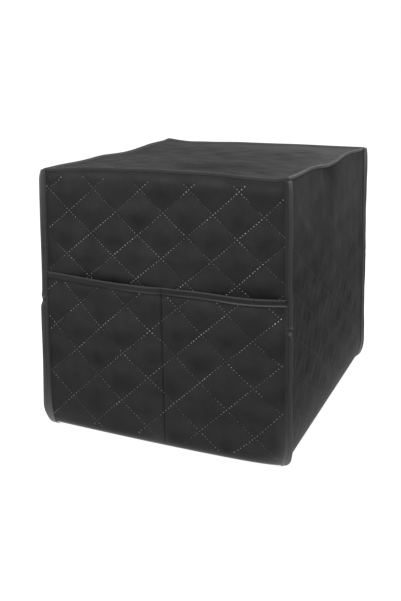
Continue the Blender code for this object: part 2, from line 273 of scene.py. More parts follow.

# Each panel's uneven tone and painted light and shade, as shares of the dye's own. Its streaks are
# this wide, long and strong, partly the nap's own tone and partly painted shade of small creases,
# and calm is the share of their strength that is left in the panel's upper quarter. Then come its
# mottling, which is the cloth's own, and the painted shade low in each diamond. Last, how much
# paler its hem is painted, a painted reflection of the pale floor: one share fades over a few
# millimetres, the other over some centimetres.
NapAndPaintedLight = namedtuple("NapAndPaintedLight", "wide long streak calm mottle smudge hem hem_reach low low_reach")
NAP_AND_PAINTED_LIGHT = {
    "front": NapAndPaintedLight(60, 50, 0.05, 1.0, 0.07, 0.26, 0.0, 2.8, 0.0, 28.0),
    "pocket": NapAndPaintedLight(60, 50, 0.05, 1.0, 0.07, 0.26, 22.0, 2.8, 0.15, 20.0),
    "right": NapAndPaintedLight(6, 36, 0.13, 0.3, 0.13, 0.04, 6.0, 3.6, 3.0, 25.0),
    "back": NapAndPaintedLight(40, 60, 0.06, 1.0, 0.06, 0.20, 5.0, 3.6, 0.3, 26.0),
    "left": NapAndPaintedLight(40, 60, 0.06, 1.0, 0.06, 0.20, 5.0, 3.6, 0.3, 26.0),
    "top": NapAndPaintedLight(80, 14, 0.13, 1.0, 0.10, 0.05, 0.0, 1.0, 0.0, 1.0),
}
# Coarse and fine streaks and mottling: what is added to the seed, how strong they are against
# the nap's own strength, and from crest to crest.
STREAKS = ((17, 1.0, 1.0), (18, 1.0, 0.45))
MOTTLES = ((19, 1.0, 36), (20, 0.4, 14))
# The painted shade low in a diamond, where its puff turns down away from the light above: its place
# along the two lines' coordinates, its half size and the least share of it that any diamond has.
# Its mean is taken off, so that no panel darkens.
PUFF_SHADE_A, PUFF_SHADE_B, PUFF_SHADE_SIZE, PUFF_SHADE_LEAST, PUFF_SHADE_MEAN = 0.64, 0.36, 0.26, 0.35, 0.6
# The painted lines along the divider, painted shade in its groove and a painted highlight just
# right of it: how much paler, how far to its right and their half width.
DIVIDER_PAINTED_LINES = ((0.25, 2.3, 1.0), (-0.35, 0.0, 1.1))
# The reverse of the cloth gets this share of its face's uneven tone and painted light and shade.
REVERSE_TONE_AND_LIGHT_SHARE = 0.3
# Soft patches that are paler or darker than the rest, mostly painted light and shade: where, their
# half sizes and how much.
Patch = namedtuple("Patch", "x y wide high tone")
PAINTED_LIGHT_PATCHES = {
    "front": (
        # Front: the pale band under the top seam, painted shadow above the pocket mouths and a
        # painted highlight on a fold.
        Patch(110, 0, 150, 8, 0.42),
        Patch(85, 134, 42, 7, -0.35),
        Patch(305, 131, 30, 8, -0.12),
        Patch(40, 18, 8, 22, 0.18),
    ),
    "pocket": (
        # Pocket: painted light from the pale floor at its hem and its lower right corner, and a
        # darker patch.
        Patch(342, 345, 12, 40, 1.6),
        Patch(336, 356, 24, 14, 1.6),
        Patch(20, 352, 26, 14, 0.35),
        Patch(165, 345, 18, 26, 0.3),
        Patch(280, 190, 46, 12, -0.12),
    ),
    "right": (
        # Right: the painted shadow of a dimple under the top seam, a thin painted highlight,
        # painted light on the upper part and painted shade across the middle and lower part.
        Patch(168, 12, 24, 18, -0.40),
        Patch(177, 85, 7, 50, 0.20),
        Patch(50, 30, 60, 44, 0.26),
        Patch(270, 40, 70, 60, 0.32),
        Patch(80, 130, 90, 70, -0.20),
        Patch(60, 235, 70, 60, -0.14),
        Patch(250, 170, 60, 60, -0.12),
        Patch(200, 240, 80, 50, -0.16),
    ),
    "back": (Patch(170, 0, 190, 9, 0.3),),
    "left": (Patch(170, 0, 190, 9, 0.3),),
    "top": (
        # Top: painted light on its back and right edge, and painted shade towards its front.
        Patch(60, 20, 100, 30, 0.30),
        Patch(250, -10, 120, 80, 0.75),
        Patch(330, 110, 36, 120, 0.55),
        Patch(270, 60, 60, 50, 0.12),
        Patch(215, 270, 60, 60, -0.40),
    ),
}

# The rolled hem's section: the roll's radius on the outer face, how far it turns, the radius of
# the fold at its end and the length of the turning, which goes back up inside.
Hem = namedtuple("Hem", "roll turn fold lap")
PLAIN_HEM = Hem(6.5, radians(70), 2.4, 11.0)
POCKET_HEM = Hem(PLAIN_HEM.roll + PANEL_T / MM + SEW_GAP / MM, PLAIN_HEM.turn, 3.7, 9.0)
# Rows of the roll, the fold, its way back and the lap, and those that the front's edge has.
HEM_ROWS = (9, 9, 4, 5)
FRONT_HEM_ROWS = 9
# The turned cloth is pressed to this share of its thickness. Each side's hem is drawn inward
# this far, and the reach is how far above the hem that ends.
HEM_PRESSED = 0.72
HEM_EASE = {"front": 1.5, "right": 6.5, "back": 5.0, "left": 5.0}
HEM_EASE_REACH = 36.0

# One half of the side tapes' section, from its open edge to the fold: along the fin and across.
SIDE_TAPE = (
    (-2.1, 2.8), (-1.2, 2.6), (-0.2, 2.2), (0.8, 1.8), (2.2, 1.55), (3.4, 1.45), (4.0, 1.15),
    (4.4, 0.95), (4.9, 1.1), (5.6, 1.5), (6.6, 1.65), (7.6, 1.4), (8.3, 0.8), (8.6, 0.0),
)
# The top tape's section: out from the seam and up from it, from its lower edge, round the seam
# and onto the top panel.
TOP_TAPE = (
    (-0.5, -2.4), (0.15, -1.3), (0.45, 0.0), (0.25, 1.0), (-0.6, 1.5), (-2.0, 1.2), (-3.5, 0.8),
    (-5.0, 0.5), (-6.8, 0.15),
)
# The mouth tape's section: out from the front's face and up from its own lower edge.
MOUTH_TAPE = (
    (2.95, 0.0), (3.05, 0.9), (2.75, 2.0), (2.65, 3.6), (2.7, 5.2), (2.8, 6.4), (2.6, 7.2),
    (2.0, 7.75), (1.5, 7.8), (1.0, 7.6), (0.55, 7.0), (0.42, 5.6), (0.4, 3.6), (0.4, 1.6),
    (0.4, 0.2),
)
# Up the section, where its lower edge ends and its flank starts, and where its fold does.
MOUTH_EDGE_ZONE, MOUTH_FOLD_ZONE = (0.7, 1.6), (6.3, 7.1)
# How much paler the mouth tape's lower edge is painted from place to place along the front, its
# flank, which is painted darker to the right, its fold, and how much darker it is painted at the
# divider: painted highlights on the lower edge and fold, and painted shade on the flank and in the
# divider's notch.
MOUTH_LOWER_EDGE = (
    (0.0, -0.25), (0.28, -0.2), (0.40, 0.6), (0.50, 0.8), (0.53, 0.1), (0.60, 0.8), (0.72, 0.9),
    (0.80, 2.2), (1.0, 2.4),
)
MOUTH_FLANK = ((0.45, -0.2), (0.6, -0.34))
MOUTH_FOLD_HIGHLIGHT, NOTCH_PAINTED_SHADE = 0.2, 0.1
# The divider's seam draws the tape in this deep and this wide. Left of where it turns up, its
# lower edge lies flatter by this much.
NOTCH_DEPTH, NOTCH_WIDTH = 1.1, 1.6
FLUSH_DEPTH, FLUSH_ENDS = 0.3, (0.30, 0.42)

# The side tapes' looks. First, how much paler than its dye a tape is at its root, on its flanks, in
# its sewn groove, on its fold and on its fold near the top: light and shade painted on the root,
# flanks and groove, and on the folds a painted highlight with some real wear. Then its length at
# its hem end, as a share, how far up that end is rounded, and its length at its top end. Then how
# far above the hem it starts, how strong its pucker is and how far below the crease's height that
# lies, and last its length against the frame's. Heights are in metres.
TapeLook = namedtuple(
    "TapeLook", "root flank groove fold fold_top hem_end hem_taper top_end start pucker drop long"
)
TAPE_LOOKS = {
    "front_left": TapeLook(-0.15, 0.30, 0.15, 0.45, 1.9, 0.4, 0.030, 0.6, 0.0, 1.0, 0.006, 0.91),
    "front_right": TapeLook(
        -0.1, -0.02, -0.2, 0.05, 0.8, 0.2, 0.014, 0.8, 0.003, 1.0, 0.003, 0.90
    ),
    "back_right": TapeLook(0.6, 0.6, 0.4, 0.5, 0.6, 0.45, 0.014, 0.7, 0.0, 0.25, 0.0, 1.0),
    "back_left": TapeLook(0.2, 0.2, -0.1, 0.3, 0.5, 0.45, 0.014, 0.6, 0.0, 0.6, 0.0, 1.0),
}
# Near the top a side tape's fold has its other tone over this height, and its flanks are painted
# paler too: a painted highlight where the tape's top catches the light from above.
FOLD_TOP_REACH = 0.036
FLANK_TOP_HIGHLIGHT = 2.0
# Near the hem a side tape is painted paler by this many times the right panel's painted reflection
# of the pale floor.
TAPE_HEM_REFLECTION = 1.35
# The pucker's painted bands, pale where its kinked tape catches the light and dark where it turns
# from it: how much, how far above the pucker and their reach, metres.
PUCKER_PAINTED_BANDS = ((0.7, -0.0015, 0.0035), (0.7, 0.006, 0.0035), (-0.3, 0.0025, 0.003))
# The pucker shortens the tape by one share and throws it sideways, in metres.
PUCKER_SHORTENS = 0.22
PUCKER_THROWS = 0.0016
# A side tape's fold sways and shivers this far, in metres, and its length is this uneven.
SWAY, SHIVER, UNEVEN = 0.00066, 0.00022, 0.02
# Along the fin, the tape's zones from its root to its fold, and where its sewn groove ends.
TAPE_ZONES = (0.2, 2.0, 3.4, 4.4, 5.2, 6.6)
GROOVE_ZONE = (4.4, 5.6)
TAPE_THICKNESS = 0.8
TOP_TAPE_THICKNESS = 0.72
# A cut tape thins by this share at its open edges.
EDGE_THINS = 0.6
# The side tapes' rings in metres: the plain step, the step at the pucker and how many there.
TAPE_STEP, PUCKER_STEP, PUCKER_RINGS = 0.0022, 0.0007, 9
# They end this far above the seam, and are rounded over this height there.
TAPE_TOP_STANDS = 0.0005
TOP_TAPER = 0.013
# How much paler the top tape's crest is on each side, a painted highlight whose strength differs
# from side to side, and how much paler its back and lower edges are painted, to light the shade
# under their lips. Then its streaks and the side tapes', which vary those painted tones: how
# strong, turns in radians for a metre and where they start.
TOP_CREST_HIGHLIGHT = {"front": 0.15, "right": 1.5, "back": 1.1, "left": 0.7}
BACK_EDGE_PAINTED_LIGHT, LOW_EDGE_PAINTED_LIGHT = 0.5, 0.9
TOP_STREAKS = ((0.2, 70, 0), (0.15, 190, 0))
SIDE_STREAKS = ((0.16, 83, 2), (0.12, 211, 0))
# The corners of the top tape: its rings there, their step and where its straight part starts.
CORNER_RINGS, CORNER_STEP, STRAIGHT_START = 4, 0.0012, 0.0085

# What the sheets' flat sizes take in beyond the seams, metres.
SIDE_EASE, TOP_TUCK, POCKET_SLACK, HEM_TURNED = 0.004, 0.004, 0.006, 0.030
MOUTH_TAPE_CUT = 0.019


def blend(a, b, t):
    """Return the value at t on the way from a to b."""
    return a + (b - a) * t


def hump(t):
    """Return a smooth hump that is 1 at 0 and nearly gone at -2 and 2."""
    return np.exp(-(t ** 2))


def ripple(place, waves):
    """Return the sum of small waves at a place: each one's size, turn for a unit and start."""
    return sum(size * np.sin(place * turn + start) for size, turn, start in waves)


def bell(t):
    """Return a smooth bump that is 1 at 0 and falls to 0 at -1 and 1."""
    return np.where(np.abs(t) < 1, np.cos(pi * np.clip(t, -1, 1) / 2) ** 2, 0.0)


def ease(t):
    """Return t from 0 to 1 with a smooth start and end."""
    t = np.clip(t, 0.0, 1.0)
    return t * t * (3 - 2 * t)


# ---------------------------------------------------------------- the frame's form functions
def corner_at(name, t):
    """Return a corner's place in plan at a share t of the way from the hem to the top."""
    c, t = CORNERS[name], np.asarray(t, float)
    return np.stack(
        [blend(c.hem_x, c.top_x, t), blend(c.hem_y, c.top_y, t), np.zeros_like(t)], axis=-1
    )


def unit(v):
    """Return vectors scaled to a length of one."""
    return v / np.linalg.norm(v, axis=-1, keepdims=True)


def run_along(line):
    """Return how far along a line each of its points lies."""
    return np.cumsum(np.append(0, np.linalg.norm(np.diff(line, axis=0), axis=1)))


def outward(side):
    """Return the unit vector that points straight out of a side."""
    along = corner_at(SIDES[side].end, 0.5) - corner_at(SIDES[side].start, 0.5)
    return unit(np.array([along[1], -along[0], 0.0]))


def side_width(side):
    """Return the width of a side at half height."""
    return float(
        np.linalg.norm(corner_at(SIDES[side].end, 0.5) - corner_at(SIDES[side].start, 0.5))
    )


def edge_rise(side, s):
    """Return the rise of the top seam at a share s along a side."""
    sunk = blend(CORNERS[SIDES[side].start].sunk, CORNERS[SIDES[side].end].sunk, s)
    waves = (w for w in EDGE_WAVES if w.side == side)
    return sum(w.lift * bell((s - w.at) / w.reach) for w in waves) - sunk


def top_rise(u, v):
    """Return the rise of the top panel's outer face, which hangs between its four seams."""
    across = blend(edge_rise("front", u), edge_rise("back", 1 - u), v)
    along = blend(edge_rise("left", 1 - v), edge_rise("right", v), u)
    front = blend(CORNERS["front_left"].sunk, CORNERS["front_right"].sunk, u)
    back = blend(CORNERS["back_left"].sunk, CORNERS["back_right"].sunk, u)
    hang = np.clip(np.sin(pi * u) * np.sin(pi * v), 0, None) ** TOP_SAG_POWER
    return across + along + blend(front, back, v) - TOP_SAG * hang


SEAM_Z = PANEL_T - float(top_rise(0.5, 0.5))
HEM_Z = SEAM_Z - COVER_HEIGHT
UP = np.array([0.0, 0.0, 1.0])


def side_top(side, s):
    """Return the height above the hem at which a side's cloth ends under the top seam."""
    return COVER_HEIGHT + edge_rise(side, s) - EDGE_INSET


def neighbour(side, step):
    """Return the side a step further round the cover."""
    names = list(SIDES)
    return names[(names.index(side) + step) % len(names)]


def hem_ease(side, height):
    """Return how far the hem draws a side inward at a height above the hem."""
    return HEM_EASE[side] * MM * np.clip(1 - height / (HEM_EASE_REACH * MM), 0, 1) ** 2


def hem_lift(side, s, height):
    """Return how far a side's cloth is lifted at a share s along it: most at its hem."""
    lift = HEM_LIFTS[side]
    s = np.clip(s, 0, 1)
    at_hem = lift.start * (1 - s) ** lift.start_power + lift.end * s ** lift.end_power
    return at_hem * np.clip(1 - height / COVER_HEIGHT, 0, 1) ** 2


def side_point(side, s, height, inward=0.0, out=0.0):
    """Return points of a side's outer face: share s along it, height above the hem."""
    t = np.clip(height / COVER_HEIGHT, 0.0, 1.0)
    start, end = corner_at(SIDES[side].start, t), corner_at(SIDES[side].end, t)
    along = unit(end - start)
    bow = SIDE_BOW * np.sin(pi * s) * np.sin(pi * t)
    if side == "front":
        bow = bow + FRONT_HEM_BOW * np.sin(pi * s) * (1 - t) ** 2
    before = inward + hem_ease(neighbour(side, -1), height)
    after = inward + hem_ease(neighbour(side, 1), height)
    shift = before * (1 - s) - after * s
    point = start + (end - start) * s[..., None] + along * shift[..., None]
    out = bow - inward - hem_ease(side, height) + out
    point = point + outward(side) * out[..., None]
    point[..., 2] = HEM_Z + height + hem_lift(side, s, height)
    return point


def mouth_height(s):
    """Return the height above the hem of the pocket mouths' upper edge."""
    return MOUTH_HEIGHT + sum(rise.lift * bell((s - rise.at) / rise.reach) for rise in MOUTH_RISES)


def pocket_gap(s, height):
    """Return how far the pocket panel stands off the front panel, past the sewing gap."""
    gap = np.zeros(np.broadcast(s, height).shape)
    for pocket in POCKETS:
        share = np.clip((s - pocket.start) / (pocket.end - pocket.start), 0.0, 1.0)
        skew = log(0.5) / log(pocket.peak)
        rise = np.sin(pi / 2 * np.clip(height / mouth_height(s), 0, 1))
        belly = np.clip(np.sin(pi * share ** skew), 0, None) ** BELLY_POWER
        gap = gap + pocket.gape * belly * rise ** FOOT_POWER
    return gap


# ---------------------------------------------------------------- relief of the cloth
def drift(x, y, seed, reach):
    """Return a slow unevenness, mostly from -1 to 1, about reach from one crest to the next."""
    waves, usual_peak = 6, 3.4
    chance = np.random.default_rng(seed)
    total = np.zeros(np.broadcast(x, y).shape)
    for _ in range(waves):
        turn, start = chance.uniform(0, 2 * pi, 2)
        pitch = reach * chance.uniform(0.7, 1.6)
        total = total + np.sin(2 * pi * (x * cos(turn) + y * sin(turn)) / pitch + start)
    return total / usual_peak


def lattice_place(lattice, column, row):
    """Return the place on the flat panel of a column and row, which need not be whole."""
    bends = np.stack([column * column, column * row, row * row])
    stray_x = STRAY_X.far * drift(column, row, lattice.seed + SEED_STRAY_X, STRAY_X.reach)
    stray_y = STRAY_Y.far * drift(column, row, lattice.seed + SEED_STRAY_Y, STRAY_Y.reach)
    x = lattice.x + lattice.column_x * column + lattice.row_x * row + stray_x
    y = lattice.y + lattice.column_y * column + lattice.row_y * row + stray_y
    x = x + np.tensordot(lattice.stretch_x, bends, 1)
    return x, y + np.tensordot(lattice.stretch_y, bends, 1)


def quilting_lines(x, y, lattice):
    """Return two line coordinates of places on the flat panel, by closing in on each place.

    A whole number in either of them lies on a stitched line."""
    closing_steps = 8
    det = lattice.column_x * lattice.row_y - lattice.row_x * lattice.column_y
    column, row = np.zeros(x.shape), np.zeros(x.shape)
    for _ in range(closing_steps):
        at_x, at_y = lattice_place(lattice, column, row)
        dx, dy = x - at_x, y - at_y
        column = column + (dx * lattice.row_y - lattice.row_x * dy) / det
        row = row + (lattice.column_x * dy - dx * lattice.column_y) / det
    return (column + row + lattice.odd) / 2, (column - row + lattice.odd) / 2


def diamond_values(low, high, seed, a, b):
    """Return a value drawn by chance for each diamond, at places given by line coordinates."""
    repeat = 40
    drawn = np.random.default_rng(seed).uniform(low, high, (repeat, repeat))
    return drawn[np.floor(a).astype(int) % repeat, np.floor(b).astype(int) % repeat]


def puff(x, y, lattice, unevenness):
    """Return the quilted padding's rise from 0 to about 1, a little lower in each diamond."""
    a, b = quilting_lines(x, y, lattice)
    fill = diamond_values(1 - unevenness, 1 + unevenness, lattice.seed, a, b)
    slump = 1 + PUFF_SLUMP * ((a % 1) - (b % 1))
    return np.abs(np.sin(pi * a) * np.sin(pi * b)) ** PUFF_POWER * fill * slump


def fold_relief(folds, x, y):
    """Return the rise of the listed folds, in millimetres, each thin at its ends."""
    end_width, roundness = 0.55, 0.8
    relief = np.zeros(np.broadcast(x, y).shape)
    for f in folds:
        length = hypot(f.x1 - f.x0, f.y1 - f.y0)
        ax, ay = (f.x1 - f.x0) / length, (f.y1 - f.y0) / length
        along = np.clip(((x - f.x0) * ax + (y - f.y0) * ay) / length, 0, 1)
        taper = np.sin(pi * along)
        across = (y - f.y0) * ax - (x - f.x0) * ay - f.bend * taper
        width = f.width * blend(end_width, 1.0, taper)
        relief = relief + f.rise * taper ** roundness * hump(across / width)
    return relief


def seam_fade(distance, start, reach):
    """Return 0 up to a start near a seam and 1 from a reach beyond it, all in millimetres."""
    return ease((distance - start) / reach)


def panel_relief(key, x, y, slow_swell, settings):
    """Return the rise of a panel's puffs and of its folds before they fade, in millimetres."""
    lattice, (rise, reach) = LATTICES[key], slow_swell
    puffs = PUFF_SHARE[key] * settings.puff_height / MM
    puffs = puffs * puff(x, y, lattice, settings.puff_unevenness)
    folds = rise * drift(x, y, lattice.seed + SEED_SWELL, reach)
    return puffs, folds + settings.fold_depth * fold_relief(FOLDS[key], x, y)


def face_rise(key, puffs, folds, reverse):
    """Return how far a panel's outer face stands off its plain form, or its reverse."""
    if reverse:
        return folds - REVERSE_PUFF[key] * puffs - PANEL_T / MM
    return folds + puffs


# ---------------------------------------------------------------- meshes
def link(name, data):
    """Make an object at the origin in the scene."""
    thing = bpy.data.objects.new(name, data)
    bpy.context.scene.collection.objects.link(thing)
    return thing


def add_piece(name, vertices, faces, materials, replaced):
    """Make a mesh object at the origin that rides on the cover's body."""
    mesh = bpy.data.meshes.new(name)
    mesh.from_pydata(vertices, [], faces)
    mesh.update()
    mesh.shade_smooth()
    for material in materials:
        mesh.materials.append(material)
    piece = link(name, mesh)
    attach(piece, BODY)
    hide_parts(*replaced)
    return piece


def grid_faces(rows, columns, first=0, flip=False):
    """Return the quads of a grid whose vertices run row by row."""
    row, column = np.mgrid[0 : rows - 1, 0 : columns - 1]
    corner = first + row * columns + column
    quads = np.stack([corner, corner + 1, corner + columns + 1, corner + columns], axis=-1)
    if flip:
        quads = quads[..., ::-1]
    return quads.reshape(-1, 4)


def closed_sheet(name, outer, inner, flat, tone_and_painted_light, materials, replaced):
    """Make a closed sheet from its outer and inner faces, both rows of points from the top."""
    rows, columns = outer.shape[:2]
    count = rows * columns
    front = grid_faces(rows, columns, 0, True)
    reverse = grid_faces(rows, columns, count, False)
    edge = np.concatenate([
        np.arange(columns - 1),
        np.arange(rows - 1) * columns + columns - 1,
        count - 1 - np.arange(columns - 1),
        (rows - 1 - np.arange(rows - 1)) * columns,
    ])
    after = np.roll(edge, -1)
    rim = np.stack([edge, after, after + count, edge + count], axis=-1)
    faces = np.concatenate([front, reverse, rim])
    points = np.concatenate([outer.reshape(-1, 3), inner.reshape(-1, 3)])
    piece = add_piece(name, points.tolist(), faces.tolist(), materials, replaced)
    index = np.zeros(len(faces), dtype=np.int32)
    index[len(front) : len(front) + len(reverse)] = 1
    piece.data.polygons.foreach_set("material_index", index)
    lay = flat.reshape(-1, 2) * MM
    add_uv(piece.data, np.concatenate([lay, lay]))
    add_tone_and_painted_light(piece.data, np.concatenate([tone_and_painted_light.ravel(), tone_and_painted_light.ravel() * REVERSE_TONE_AND_LIGHT_SHARE]))
    return piece


def add_tone_and_painted_light(mesh, tone_and_painted_light):
    """Tell each vertex how much paler its cloth is than its dye, or darker where below zero: its
    uneven tone together with painted light and shade.
    """
    layer = mesh.attributes.new("tone_and_painted_light", "FLOAT", "POINT")
    layer.data.foreach_set("value", np.asarray(tone_and_painted_light, np.float32).ravel())


def add_uv(mesh, lay):
    """Give a mesh a UV map in metres, measured on the flat cloth, from one place a vertex."""
    uv = mesh.uv_layers.new(name="lay")
    vertex = np.zeros(len(mesh.loops), dtype=np.int32)
    mesh.loops.foreach_get("vertex_index", vertex)
    uv.data.foreach_set("uv", lay[vertex].astype(np.float32).ravel())


def surface_normals(surface, x, y, step=0.6):
    """Return a surface's outward normals at places on the flat panel."""
    across = surface(x + step, y) - surface(x - step, y)
    down = surface(x, y + step) - surface(x, y - step)
    return unit(np.cross(down, across))


# ---------------------------------------------------------------- upright panels
def hem_section(hem):
    """Return the hem's section from the start of its roll: height, inward and turn of each row.

    The height is above the hem's lowest point, and turn is the angle of the face's normal, 0
    for straight out, a quarter turn for down and a half turn for inward."""
    back = hem.roll - 2 * hem.fold
    parts = (
        (hem.roll * hem.turn, 0.0, hem.turn),
        (hem.fold * pi, hem.turn, hem.turn + pi),
        (back * hem.turn, hem.turn + pi, pi),
        (hem.lap, pi, pi),
    )
    rows, height, inward = [(0.0, 0.0, 0.0)], 0.0, 0.0
    for steps, (length, start, end) in zip(HEM_ROWS, parts):
        for i in range(steps):
            middle = blend(start, end, (i + 0.5) / steps)
            height -= cos(middle) * length / steps
            inward += sin(middle) * length / steps
            rows.append((height, inward, blend(start, end, (i + 1) / steps)))
    section = np.array(rows)
    section[:, 0] -= section[:, 0].min()
    section[:, :2] *= MM
    return section


def panel_surface(key, settings):
    """Return a panel's cloth as a function of places on the flat panel and which face to give."""
    if key == "top":
        return top_surface(settings)
    side = "front" if key == "pocket" else key
    stand = SEW_GAP + PANEL_T if key == "pocket" else 0.0

    def surface(x, y, reverse=False):
        x, y = np.broadcast_arrays(np.asarray(x, float), np.asarray(y, float))
        s = x / LAY_WIDTH
        height = (1 - y / LAY_HEIGHT) * COVER_HEIGHT
        out = stand + face_rise(key, *side_relief(key, x, y, s, height, settings), reverse) * MM
        if key == "pocket":
            out = out + pocket_gap(s, height)
        return side_point(side, s, height, 0.0, out)

    return surface


def side_relief(key, x, y, s, height, settings):
    """Return the rise of an upright panel's puffs and of its folds, in millimetres."""
    puffs, folds = panel_relief(key, x, y, SIDE_SWELL, settings)
    beside, up = np.minimum(x, LAY_WIDTH - x), height / MM
    fade = seam_fade(beside, *SIDE_FADE) * seam_fade(up, *HEM_FADE)
    if key == "pocket":
        fade = fade * seam_fade((mouth_height(s) - MOUTH_BAND - height) / MM, *MOUTH_FADE)
        divider = np.abs(s - DIVIDER) * side_width("front") / MM
        flat = seam_fade(divider, *DIVIDER_FADE)
        groove = DIVIDER_GROOVE * hump(divider / DIVIDER_HALF_WIDTH)
        folds = np.clip(folds, -POCKET_FOLD_DEPTH, None)
        return puffs * fade * flat - groove, folds * fade * flat
    # The front's top edge serves every side, near enough for a fade.
    fade = fade * seam_fade((side_top("front", s) - height) / MM, *TOP_FADE)
    if key == "front":
        above = seam_fade((height - mouth_height(s)) / MM, *BEHIND_POCKET_FADE)
        flatter = blend(BEHIND_POCKET, 1.0, above)
        puffs, folds = puffs * flatter, folds * flatter
    return puffs * fade, folds * fade


def painted_puff_shade(x, y, lattice):
    """Return the painted shade low in each diamond, where its puff turns away from the light above,
    from 0 to 1, stronger in some than in others.
    """
    a, b = quilting_lines(x, y, lattice)
    strength = diamond_values(PUFF_SHADE_LEAST, 1.0, lattice.seed + SEED_PUFF_SHADE, a, b)
    across, down = (a % 1) - PUFF_SHADE_A, (b % 1) - PUFF_SHADE_B
    return strength * np.exp(-((across / PUFF_SHADE_SIZE) ** 2) - (down / PUFF_SHADE_SIZE) ** 2)


def nap_wear(key, x, y):
    """Return how much paler than its dye a panel is: streaks, mottling, painted shade in each
    diamond and patches of painted light and shade.
    """
    nap_and_light, lattice = NAP_AND_PAINTED_LIGHT[key], LATTICES[key]
    tone_and_painted_light = 0.0
    for seed, share, reach in STREAKS:
        streaks = drift(x / nap_and_light.wide, y / nap_and_light.long, lattice.seed + seed, reach)
        tone_and_painted_light = tone_and_painted_light + share * nap_and_light.streak * streaks
    tone_and_painted_light = tone_and_painted_light * np.interp(y, (LAY_HEIGHT / 4, LAY_HEIGHT / 2), (nap_and_light.calm, 1.0))
    for seed, share, reach in MOTTLES:
        tone_and_painted_light = tone_and_painted_light + share * nap_and_light.mottle * drift(x, y, lattice.seed + seed, reach)
    tone_and_painted_light = tone_and_painted_light - nap_and_light.smudge * (painted_puff_shade(x, y, lattice) - PUFF_SHADE_MEAN)
    for patch in PAINTED_LIGHT_PATCHES[key]:
        away = ((x - patch.x) / patch.wide) ** 2 + ((y - patch.y) / patch.high) ** 2
        tone_and_painted_light = tone_and_painted_light + patch.tone * np.exp(-away)
    return tone_and_painted_light


def hem_painted_reflection(key, height):
    """Return how much paler a panel is painted near its hem: a painted reflection of the pale
    floor.
    """
    nap_and_light, above = NAP_AND_PAINTED_LIGHT[key], np.asarray(height) / MM
    return nap_and_light.hem * np.exp(-above / nap_and_light.hem_reach) + nap_and_light.low * np.exp(-above / nap_and_light.low_reach)


def divider_painted_shading(s):
    """Return the painted shade along the pockets' divider groove and the painted highlight just
    right of it.
    """
    beside = (s - DIVIDER) * side_width("front") / MM
    return sum(tone * hump((beside - right) / wide) for tone, right, wide in DIVIDER_PAINTED_LINES)


def inner_share(share, width):
    """Return the share along a side of the reverse face under a share of the outer face."""
    tip, inset = SEAM_TIP / width, EDGE_INSET / width
    return inset + (share - tip) * (1 - 2 * inset) / (1 - 2 * tip)


def panel_columns(side, divider=False):
    """Return the shares along a side of its sheet's columns, closer together by a divider."""
    width = side_width(side)
    tip = SEAM_TIP / width
    shares = np.linspace(tip, 1 - tip, int(width / MM / GRID_STEP))
    if divider:
        # The even columns make way for the finer ones, up to a share of a fine step past them.
        fine, past = FINE_STEP * MM / width, 0.6
        near = DIVIDER + np.arange(-FINE_COLUMNS, FINE_COLUMNS + 1) * fine
        shares = shares[np.abs(shares - DIVIDER) > (FINE_COLUMNS + past) * fine]
        shares = np.sort(np.concatenate([shares, near]))
    return shares


def flat_places(across, top, start, rows):
    """Return places on the flat panel from its top edge down to a height, and their heights."""
    height = blend(top, start, rows)
    x = np.broadcast_to(across * LAY_WIDTH, height.shape)
    return x, (1 - height / COVER_HEIGHT) * LAY_HEIGHT, height


def hem_faces(side, hem, shares, inner, stand):
    """Return the rows of a hem's outer face and of its reverse, past the roll's start."""
    outer_face, inner_face = [], []
    out = np.full(len(shares), stand)
    for height, inward, turn in hem[1:]:
        thickness = blend(1.0, HEM_PRESSED, float(ease(turn / pi))) * PANEL_T
        face = outward(side) * cos(turn) - UP * sin(turn)
        level = np.full(len(shares), height)
        outer_face.append(side_point(side, shares, level, inward, out))
        inner_face.append(side_point(side, inner, level, inward, out) - face * thickness)
    return np.array(outer_face), np.array(inner_face)


def hemmed_sheet(key, hem, top_of, materials, replaced, settings):
    """Make a closed sheet from a panel's face above the hem and the hem's section below it.

    Its side and top edges are mitred, so that neighbours meet at the seam."""
    pocket = key == "pocket"
    side = "front" if pocket else key
    surface = panel_surface(key, settings)
    shares = panel_columns(side, divider=pocket)
    inner = inner_share(shares, side_width(side))
    start = hem[0, 0]
    top = top_of(side, shares)
    inner_top = top_of(side, inner) - (0.0 if pocket else EDGE_INSET - SEAM_TIP)
    rows = np.linspace(0, 1, int((top.max() - start) / MM / GRID_STEP))[:, None]
    x, y, height = flat_places(shares, top, start, rows)
    inner_x, inner_y, _ = flat_places(inner, inner_top, start, rows)
    hem_outer, hem_inner = hem_faces(
        side, hem, shares, inner, SEW_GAP + PANEL_T if pocket else 0.0
    )
    past = run_along(hem[:, :2])[1:] / MM
    hem_flat = np.stack(np.meshgrid(shares * LAY_WIDTH, y[-1, 0] + past), axis=-1)
    # The panel's uneven tone with its painted light and shade, and near the hem the painted
    # reflection of the pale floor.
    tone_and_painted_light = nap_wear(key, x, y) + hem_painted_reflection(key, height)
    if pocket:
        tone_and_painted_light = tone_and_painted_light + divider_painted_shading(shares)
    low = hem_painted_reflection(key, hem[1:, 0])[:, None] + tone_and_painted_light[-1] - hem_painted_reflection(key, start)
    return closed_sheet(
        f"cloth_{key}",
        np.concatenate([surface(x, y), hem_outer]),
        np.concatenate([surface(inner_x, inner_y, True), hem_inner]),
        np.concatenate([np.stack([x, y], axis=-1), hem_flat]),
        np.concatenate([tone_and_painted_light, low]),
        materials, replaced,
    )


def cloth_top_edge(side, s):
    """Return the height above the hem of a side's outer face at the top seam."""
    return COVER_HEIGHT + edge_rise(side, s) - SEAM_TIP


def mouth_top_edge(_side, s):
    """Return the height above the hem at which the pocket's cloth ends inside its tape."""
    return mouth_height(s) - MOUTH_TAPE_COVERS


